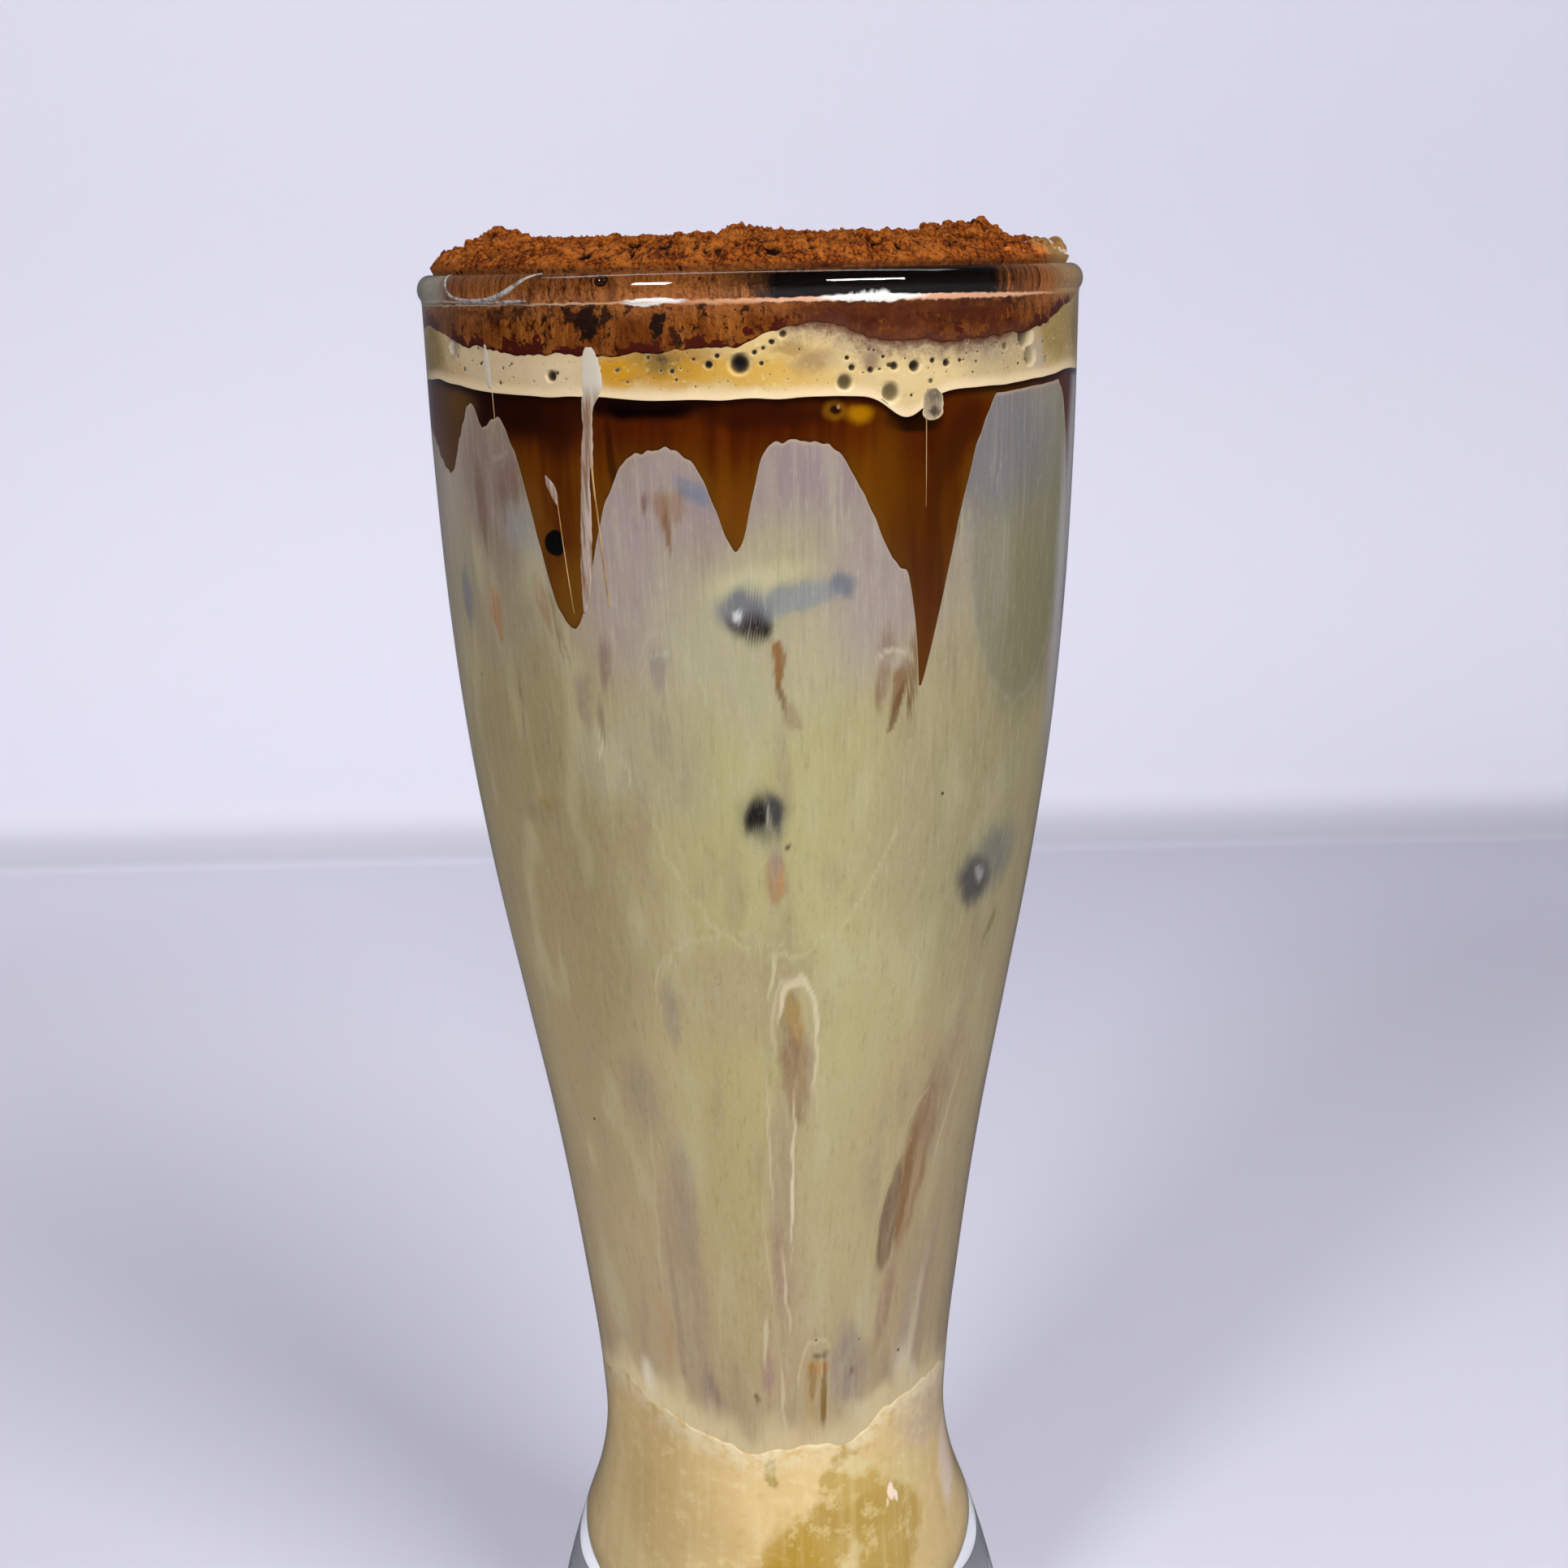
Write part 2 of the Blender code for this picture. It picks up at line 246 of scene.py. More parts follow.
def cavity_radius(height):
    """Inside of the glass: the wall's inner face, the rounded floor and the inside of the lip."""
    share = np.clip((height - WAIST_HEIGHT) / (GLASS_HEIGHT - WAIST_HEIGHT), 0, 1)
    thickness = WALL_AT_WAIST + (WALL_AT_LIP - WALL_AT_WAIST) * share
    rise = np.clip((height - FLOOR_HEIGHT) / BOWL_HEIGHT, 0, 1)
    radius = (outer_radius(np.maximum(height, WAIST_HEIGHT)) - thickness) * np.sqrt(1 - (1 - rise) ** 2)
    above = np.clip((height - LIP_CENTRE) / LIP_HALF_HEIGHT, -1, 1)
    return np.minimum(radius, LIP_RADIUS - LIP_HALF_WIDTH * np.sqrt(1 - above**2))


def condensed_top(angle):
    waves = 1.3 * wall_noise(angle, CONDENSED_LEVEL, 5.0, 1)
    ripples = 0.6 * wall_noise(angle, CONDENSED_LEVEL, 1.8, 2)
    return level(CONDENSED_LEVEL, CONDENSED_BUMPS, angle) + (waves + ripples)


def foam_bottom(angle):
    return level(FOAM_LEVEL, FOAM_BUMPS, angle) + 0.25 * wall_noise(angle, FOAM_LEVEL, 4.0, 3)


def cocoa_bottom(angle):
    scallops = 0.5 * wall_noise(angle, COCOA_LEVEL, 3.0, 4) + 0.25 * wall_noise(angle, COCOA_LEVEL, 0.9, 5)
    return np.minimum(level(COCOA_LEVEL, COCOA_BUMPS, angle) + scallops, LIP_CENTRE - COCOA_BELOW_LIP)


def milk_top(angle):
    """Edge between milk and coffee at the wall: lobes with round crowns and round-tipped drips between."""
    heights = np.full(np.shape(angle), DEEPEST_DRIP)
    for centre, crown, left, left_fall, right, right_fall, power in MILK_LOBES:
        turn = angle_between(angle, centre)
        away = np.abs(turn) / np.where(turn < 0, left, right)
        fallen = smooth_step(np.minimum(away, 1) ** power, 0, 1) + LOBE_DROP * np.maximum(away - 1, 0) ** 2
        heights = np.maximum(heights, crown - np.where(turn < 0, left_fall, right_fall) * fallen)
    ragged = 0.6 * wall_noise(angle, 170.0, 2.6, 6) + 0.5 * wall_noise(angle, 170.0, 0.9, 7)
    return np.minimum(heights + ragged, foam_bottom(angle) - THINNEST_COFFEE)


def on_wall(angle, height, reach):
    """Points on the inside of the glass, reaching a little into its wall."""
    turn = np.radians(angle)
    radius = cavity_radius(height) + reach
    return np.stack([radius * np.sin(turn), -radius * np.cos(turn), height + 0 * turn], -1) * MM


def new_object(name, points, faces, material, replaces=None):
    """Smooth mesh object that rides with the glass."""
    mesh = bpy.data.meshes.new(name)
    mesh.from_pydata(np.asarray(points).tolist(), [], faces)
    mesh.materials.append(material)
    mesh.shade_smooth()
    made = bpy.data.objects.new(name, mesh)
    bpy.context.scene.collection.objects.link(made)
    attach(made, BODY)
    if replaces:
        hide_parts(replaces)
    return made


def lofted(name, rings, material, replaces=None):
    """Closed mesh through rings of points from the bottom up, with a point in the middle of both ends."""
    rings = np.asarray(rings)
    rows, count = rings.shape[:2]
    points = np.vstack([rings[0].mean(0), rings.reshape(-1, 3), rings[-1].mean(0)])
    at = 1 + np.arange(rows * count).reshape(rows, count)
    after = np.roll(at, -1, axis=1)
    sides = np.stack([at[:-1], after[:-1], after[1:], at[1:]], -1).reshape(-1, 4)
    first = np.stack([np.zeros(count, int), after[0], at[0]], -1)
    last = np.stack([np.full(count, len(points) - 1), at[-1], after[-1]], -1)
    faces = sides.tolist() + first.tolist() + last.tolist()
    return new_object(name, points, faces, material, replaces)


def attribute(piece, name, rings, size=1):
    """A value, or a vector of three, for each point of a lofted piece, given ring by ring."""
    rings = np.asarray(rings, float).reshape(len(rings), -1, size)
    values = np.vstack([rings[0].mean(0), rings.reshape(-1, size), rings[-1].mean(0)])
    made = piece.data.attributes.new(name, "FLOAT" if size == 1 else "FLOAT_VECTOR", "POINT")
    made.data.foreach_set("value" if size == 1 else "vector", values.ravel().astype(np.float32))


def padded(caps, before, sides, after, top):
    """Values of a layer's rings: the same all over each hidden face, and row by row up its side."""
    return [before] * len(caps) + list(sides) + [after] * len(top)


def cap_rings(edge, middle, shares, reach, columns=COLUMNS):
    """Rings of a layer's hidden end face, which follows its edge at the wall and is level inside."""
    rings = []
    for share in shares:
        fade = smooth_step(share, LEVEL_SHARE, 1)
        height = middle + (edge - middle) * fade
        ring = on_wall(columns, edge, reach)
        ring[:, :2] *= share
        ring[:, 2] = height * MM
        rings.append(ring)
    return rings


class Graph:
    """The node tree of one material."""

    def __init__(self, name):
        self.material = bpy.data.materials.new(name)
        self.material.use_nodes = True
        self.tree = self.material.node_tree
        self.shader = self.tree.nodes["Principled BSDF"]
        self.place = self.node("ShaderNodeTexCoord").outputs["Object"]

    def node(self, kind, inputs=(), **settings):
        made = self.tree.nodes.new(kind)
        for name, value in settings.items():
            setattr(made, name, value)
        for key, value in dict(inputs).items():
            self.feed(made.inputs[key], value)
        return made

    def feed(self, socket, value):
        if isinstance(value, bpy.types.NodeSocket):
            self.tree.links.new(value, socket)
        else:
            socket.default_value = value

    def math(self, operation, *values):
        made = self.node("ShaderNodeMath", dict(enumerate(values)), operation=operation)
        return made.outputs[0]

    def vector(self, operation, *values):
        made = self.node("ShaderNodeVectorMath", dict(enumerate(values)), operation=operation)
        return made.outputs["Value" if operation in ("LENGTH", "DOT_PRODUCT") else "Vector"]

    def mix(self, factor, first, second):
        made = self.node("ShaderNodeMix", {0: factor, 6: first, 7: second}, data_type="RGBA")
        return made.outputs[2]

    def ramp(self, value, low, high, to_low=0.0, to_high=1.0):
        """Smooth change from to_low at low to to_high at high."""
        inputs = {"Value": value, "From Min": low, "From Max": high, "To Min": to_low, "To Max": to_high}
        return self.node("ShaderNodeMapRange", inputs, interpolation_type="SMOOTHSTEP").outputs[0]

    def stretched(self, across, along):
        """Place in features: across round the glass and along its height, both in millimetres."""
        scale = (1 / (across * MM), 1 / (across * MM), 1 / (along * MM))
        return self.vector("MULTIPLY", self.place, scale)

    def parts(self, vector):
        """The x, y and z of a vector."""
        return self.node("ShaderNodeSeparateXYZ", {0: vector}).outputs

    def tone(self, colour, value, low, high, tint, strength=1.0):
        """Blends in a display colour as a value goes from low to high."""
        return self.mix(self.ramp(value, low, high, 0, strength), colour, srgb(*tint))

    def noise(self, across, along, detail=2.0, rough=0.5, output="Fac"):
        inputs = {"Vector": self.stretched(across, along), "Scale": 1.0, "Detail": detail, "Roughness": rough}
        return self.node("ShaderNodeTexNoise", inputs).outputs[output]

    def specks(self, size, rim, core, least, most):
        """Round specks, full from rim to core, in those cells of a size whose chance is least to most."""
        cells = self.node("ShaderNodeTexVoronoi", {"Vector": self.stretched(size, size), "Scale": 1.0})
        speck = self.ramp(cells.outputs["Distance"], rim, core)
        chance = self.node("ShaderNodeSeparateColor", {0: cells.outputs["Color"]}).outputs[0]
        return self.math("MULTIPLY", speck, self.ramp(chance, least, most))

    def value(self, name):
        return self.node("ShaderNodeAttribute", attribute_name=name).outputs["Fac"]

    def wall(self, wander=0.0, wander_size=4.0):
        """(arc, height) on the wall in millimetres, made to wander by noise."""
        parts = self.parts(self.place)
        turn = self.math("ARCTAN2", parts[0], self.math("MULTIPLY", parts[1], -1.0))
        arc = self.math("MULTIPLY", turn, np.degrees(ARC))
        height = self.math("MULTIPLY", parts[2], 1 / MM)
        spot = self.node("ShaderNodeCombineXYZ", {0: arc, 1: height, 2: 0.0}).outputs[0]
        if wander:
            drift = self.noise(wander_size, wander_size, 3.0, 0.6, "Color")
            push = self.vector("SUBTRACT", drift, (0.5,) * 3)
            spot = self.vector("ADD", spot, self.vector("MULTIPLY", push, (wander, 2 * wander, 0)))
        return spot

    def local(self, spot, angle, height, half_angle, half_height, lean, taper):
        """Place within an oval on the wall: 1 unit from its middle to its edge. A taper narrows its foot."""
        inputs = {
            "Vector": spot,
            "Location": (angle * ARC, height, 0),
            "Rotation": (0, 0, np.radians(lean)),
            "Scale": (half_angle * ARC, half_height, 1),
        }
        place = self.node("ShaderNodeMapping", inputs, vector_type="TEXTURE").outputs[0]
        if taper:
            upward = self.vector("DOT_PRODUCT", place, (0, 1, 0))
            width = self.math("MAXIMUM", self.math("MULTIPLY_ADD", upward, taper, 1.0), 0.08)
            narrowed = self.node("ShaderNodeCombineXYZ", {0: self.math("DIVIDE", 1.0, width), 1: 1.0, 2: 1.0})
            place = self.vector("MULTIPLY", place, narrowed.outputs[0])
        return place

    def paint(self, colour, spot, patches):
        """Ovals of colour on the wall, each (angle, height, half-angle, half-height, lean, taper, softness,
        strength, colour)."""
        for angle, height, half_angle, half_height, lean, taper, soft, strength, tint in patches:
            place = self.local(spot, angle, height, half_angle, half_height, lean, taper)
            cover = self.ramp(self.vector("LENGTH", place), 1 + soft, 1 - soft, 0, strength)
            colour = self.mix(cover, colour, srgb(*tint))
        return colour

    def finish(self, colour, roughness, specular=0.5, bump=None, depth=0.1, shade=1.0):
        """Joins the colour, dimmed to a share of its display value, and the surface to the shader."""
        self.feed(self.shader.inputs["Base Color"], self.vector("MULTIPLY", colour, (shade,) * 3))
        self.feed(self.shader.inputs["Roughness"], roughness)
        self.shader.inputs["Specular IOR Level"].default_value = specular
        if bump is not None:
            inputs = {"Height": bump, "Distance": depth * MM, "Strength": 1.0}
            self.feed(self.shader.inputs["Normal"], self.node("ShaderNodeBump", inputs).outputs[0])
        return self.material


def clear_material(name, colour, ior):
    """Clear glass that lets lamps through to what is behind it."""
    graph = Graph(name)
    graph.shader.inputs["Base Color"].default_value = srgb(*colour)
    graph.shader.inputs["Roughness"].default_value = 0
    graph.shader.inputs["IOR"].default_value = ior
    graph.shader.inputs["Transmission Weight"].default_value = 1
    through = graph.node("ShaderNodeBsdfTransparent", {"Color": srgb(*colour)})
    is_shadow = graph.node("ShaderNodeLightPath").outputs["Is Shadow Ray"]
    both = graph.node("ShaderNodeMixShader", {0: is_shadow})
    graph.tree.links.new(graph.shader.outputs[0], both.inputs[1])
    graph.tree.links.new(through.outputs[0], both.inputs[2])
    output = graph.tree.nodes["Material Output"]
    graph.tree.links.new(both.outputs[0], output.inputs["Surface"])
    return graph.material


def build_glass():
    """The glass, turned from a profile: up the inside, over the lip, down the outside, under the base."""
    bowl = FLOOR_HEIGHT + BOWL_HEIGHT * (1 - np.cos(np.linspace(0, np.pi / 2, BOWL_STEPS)))
    wall = np.arange(FLOOR_HEIGHT + BOWL_HEIGHT, LIP_CENTRE - LIP_HALF_HEIGHT, WALL_STEP)
    inside = [(float(cavity_radius(height)), height) for height in [*bowl, *wall[1:]]]
    lip = [
        (LIP_RADIUS + LIP_HALF_WIDTH * np.cos(turn), LIP_CENTRE + LIP_HALF_HEIGHT * np.sin(turn))
        for turn in np.radians(np.linspace(180, LIP_TURN_END, LIP_STEPS))
    ]
    outer = np.arange(lip[-1][1] - 0.5, LOWEST_WALL, -WALL_STEP)
    outside = [(float(outer_radius(height)), height) for height in outer]
    profile = inside + lip + outside + BASE_EDGE + [(BASE_RING_INNER, 0)] + PUNT
    mesh = bpy.data.meshes.new("clear_glass")
    edges = [(i, i + 1) for i in range(len(profile) - 1)]
    mesh.from_pydata([(radius * MM, 0, height * MM) for radius, height in profile], edges, [])
    mesh.materials.append(clear_material("clear glass", GLASS_TINT, GLASS_IOR))
    made = bpy.data.objects.new("clear_glass", mesh)
    bpy.context.scene.collection.objects.link(made)
    screw = made.modifiers.new("Turn", "SCREW")
    screw.steps = GLASS_SIDES
    screw.render_steps = GLASS_SIDES
    screw.use_merge_vertices = True
    screw.merge_threshold = 0.00001
    screw.use_smooth_shade = True
    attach(made, BODY)
    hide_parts("glass")


CONDENSED_PATCHES = [
    (-40, 40, 22, 11, 0, 0, 0.5, 0.6, (190, 160, 108)),
    (24, 47.8, 5.5, 1.5, 10, 0, 0.25, 0.8, (180, 152, 86)),
    (18, 44.6, 3.4, 3.0, -10, 0, 0.3, 0.85, (178, 150, 86)),
    (34, 41, 16, 3.4, -18, 0, 0.25, 0.9, (184, 154, 84)),
    (26, 33, 33, 8.4, 6, 0, 0.12, 0.95, (182, 150, 80)),
    (24, 38.2, 14, 3.0, 0, 0, 0.3, 0.75, (172, 140, 66)),
    (6, 33, 10, 6, 0, 0, 0.4, 0.8, (172, 136, 46)),
    (25.6, 32.4, 4.6, 1.7, 10, 0, 0.5, 0.8, (206, 184, 132)),
    (52, 42, 14, 2.4, -20, 0, 0.5, 0.7, (206, 186, 132)),
    (30, 45.4, 6, 1.6, -20, 0, 0.5, 0.7, (212, 194, 146)),
    (-1.9, 47, 2.1, 1.8, 0, -0.3, 0.35, 0.85, (156, 136, 70)),
    (-14, 34, 5, 5, 0, 0, 0.5, 0.5, (196, 166, 108)),
    (68, 49, 20, 6, 0, 0, 0.5, 0.65, (186, 168, 152)),
    # Painted pinkish highlight of the glass's foot, on the condensed milk behind it
    (84, 37, 9, 6, 0, 0, 0.4, 0.7, (236, 212, 204)),
    (120, 38, 27, 8, 10, 0, 0.3, 0.7, (184, 150, 80)),
    (-130, 36, 24, 7, -8, 0, 0.3, 0.7, (186, 154, 86)),
    (180, 42, 20, 5, 0, 0, 0.3, 0.6, (190, 160, 96)),
]
CONDENSED_GLINTS = [
    (43.4, 40, 1.5, 1.3, 20, 0, 0.3, 0.95, (250, 224, 206)),
    (45.6, 39.2, 0.8, 0.9, 30, 0, 0.3, 0.9, (250, 226, 210)),
    (41.6, 38.8, 0.5, 0.5, 0, 0, 0.3, 0.8, (240, 210, 186)),
]


def condensed_material():
    graph = Graph("condensed milk")
    spot = graph.wall(4.2, 3.4)
    colour = graph.mix(graph.noise(9, 12, 3), srgb(202, 170, 118), srgb(226, 198, 144))
    colour = graph.paint(colour, spot, CONDENSED_PATCHES)
    curds = graph.noise(2.2, 2.2, 5, 0.65)
    colour = graph.tone(colour, curds, 0.52, 0.66, (232, 208, 158), 0.4)
    colour = graph.tone(colour, curds, 0.44, 0.32, (180, 148, 92), 0.3)
    colour = graph.paint(colour, graph.wall(0.8, 1.4), CONDENSED_GLINTS)
    top = graph.ramp(graph.value("below_milk"), 4.5, 0.5, 0, 0.75)
    cloud = graph.math("MULTIPLY", top, graph.ramp(curds, 0.36, 0.56))
    colour = graph.mix(cloud, colour, srgb(224, 208, 176))
    streak = graph.noise(1.2, 30, 3)
    colour = graph.tone(colour, streak, 0.45, 0.75, (238, 216, 172), 0.2)
    return graph.finish(colour, 0.4, 0.03, shade=SHADE["condensed"])


def build_condensed_milk():
    low = FLOOR_HEIGHT + 0.05
    high = condensed_top(COLUMNS)
    reach = REACH["condensed"]
    sides = np.array([low + (high + RUN_ON - low) * t**1.6 for t in np.linspace(0, 1, CONDENSED_ROWS)])
    top = cap_rings(high, MIDDLE_LEVELS["condensed"], (0.9, 0.7, 0.4), reach)
    rings = [on_wall(COLUMNS, height, reach) for height in sides] + top
    made = lofted("sweet_milk", rings, condensed_material(), "condensed_milk")
    attribute(made, "below_milk", padded([], 0, high - sides, 0 * high, top))


# Broad zones of the milk's colour, then the shapes in it: (angle, height, half-angle, half-height, lean,
# taper, softness, strength, colour)
MILK_ZONES = [
    (2, 128, 19, 34, 0, 0, 0.6, 0.8, (182, 172, 122)),
    (22, 100, 14, 42, 0, 0, 0.6, 0.5, (182, 170, 124)),
    (-10, 92, 12, 32, 0, 0, 0.5, 0.5, (180, 164, 110)),
    (-50, 128, 21, 34, 0, 0, 0.6, 0.8, (140, 124, 88)),
    (-62, 96, 21, 40, 0, 0, 0.6, 0.5, (160, 140, 106)),
    (30, 132, 10, 14, 0, 0, 0.6, 0.5, (162, 148, 116)),
    (52, 126, 16, 20, 0, 0, 0.6, 0.7, (156, 148, 112)),
    (60, 98, 20, 30, 0, 0, 0.5, 0.5, (164, 144, 110)),
    (-50, 171, 14, 10, 0, 0, 0.4, 0.8, (120, 98, 90)),
    (-52, 158, 14, 8, 0, 0, 0.5, 0.6, (138, 126, 106)),
    (-16, 170, 17, 7, 0, 0, 0.5, 0.85, (158, 138, 136)),
    (-24, 158, 9, 9, 0, 0, 0.6, 0.7, (158, 138, 138)),
    (6, 171, 16, 6, 0, 0, 0.5, 0.85, (150, 130, 134)),
    (22, 158, 10, 8, -16, 0, 0.5, 0.75, (164, 146, 146)),
    (-4, 152, 18, 8, 0, 0, 0.5, 0.6, (178, 170, 144)),
    (-22, 140, 13, 6, 0, 0, 0.5, 0.5, (170, 160, 134)),
    (44, 172, 12, 9, 0, 0, 0.4, 0.9, (124, 114, 120)),
    # Painted sheen of the glass at the milk's right edge, as a pale lilac patch
    (74, 165, 7, 24, 0, 0, 0.5, 0.8, (160, 152, 154)),
    (-6, 112, 15, 7, 0, 0, 0.5, 0.55, (166, 148, 118)),
    (150, 130, 16, 26, 6, 0, 0.5, 0.6, (158, 142, 106)),
    (-140, 120, 16, 30, -6, 0, 0.5, 0.6, (160, 144, 108)),
]
FINGER = [
    (57, 165, 17.5, 22, 0, 0, 0.07, 0.75, (146, 139, 124)),
    (57, 158, 14, 15.4, 0, 0, 0.3, 0.8, (138, 131, 102)),
    (60, 153, 11, 9.5, 0, 0, 0.6, 0.5, (134, 127, 90)),
    (68, 166, 3, 16, 0, 0, 0.6, 0.6, (134, 128, 98)),
    (48, 160, 3, 9, 0, 0, 0.6, 0.4, (162, 156, 140)),
    (46, 174, 17, 7, -20, 0, 0.6, 0.75, (128, 122, 130)),
    # Painted sheen of the glass at the milk's right edge, as a pale lilac band
    (78, 160, 7, 24, 0, 0, 0.4, 0.8, (196, 190, 192)),
    (-120, 160, 15, 22, 0, 0, 0.1, 0.7, (140, 132, 106)),
]
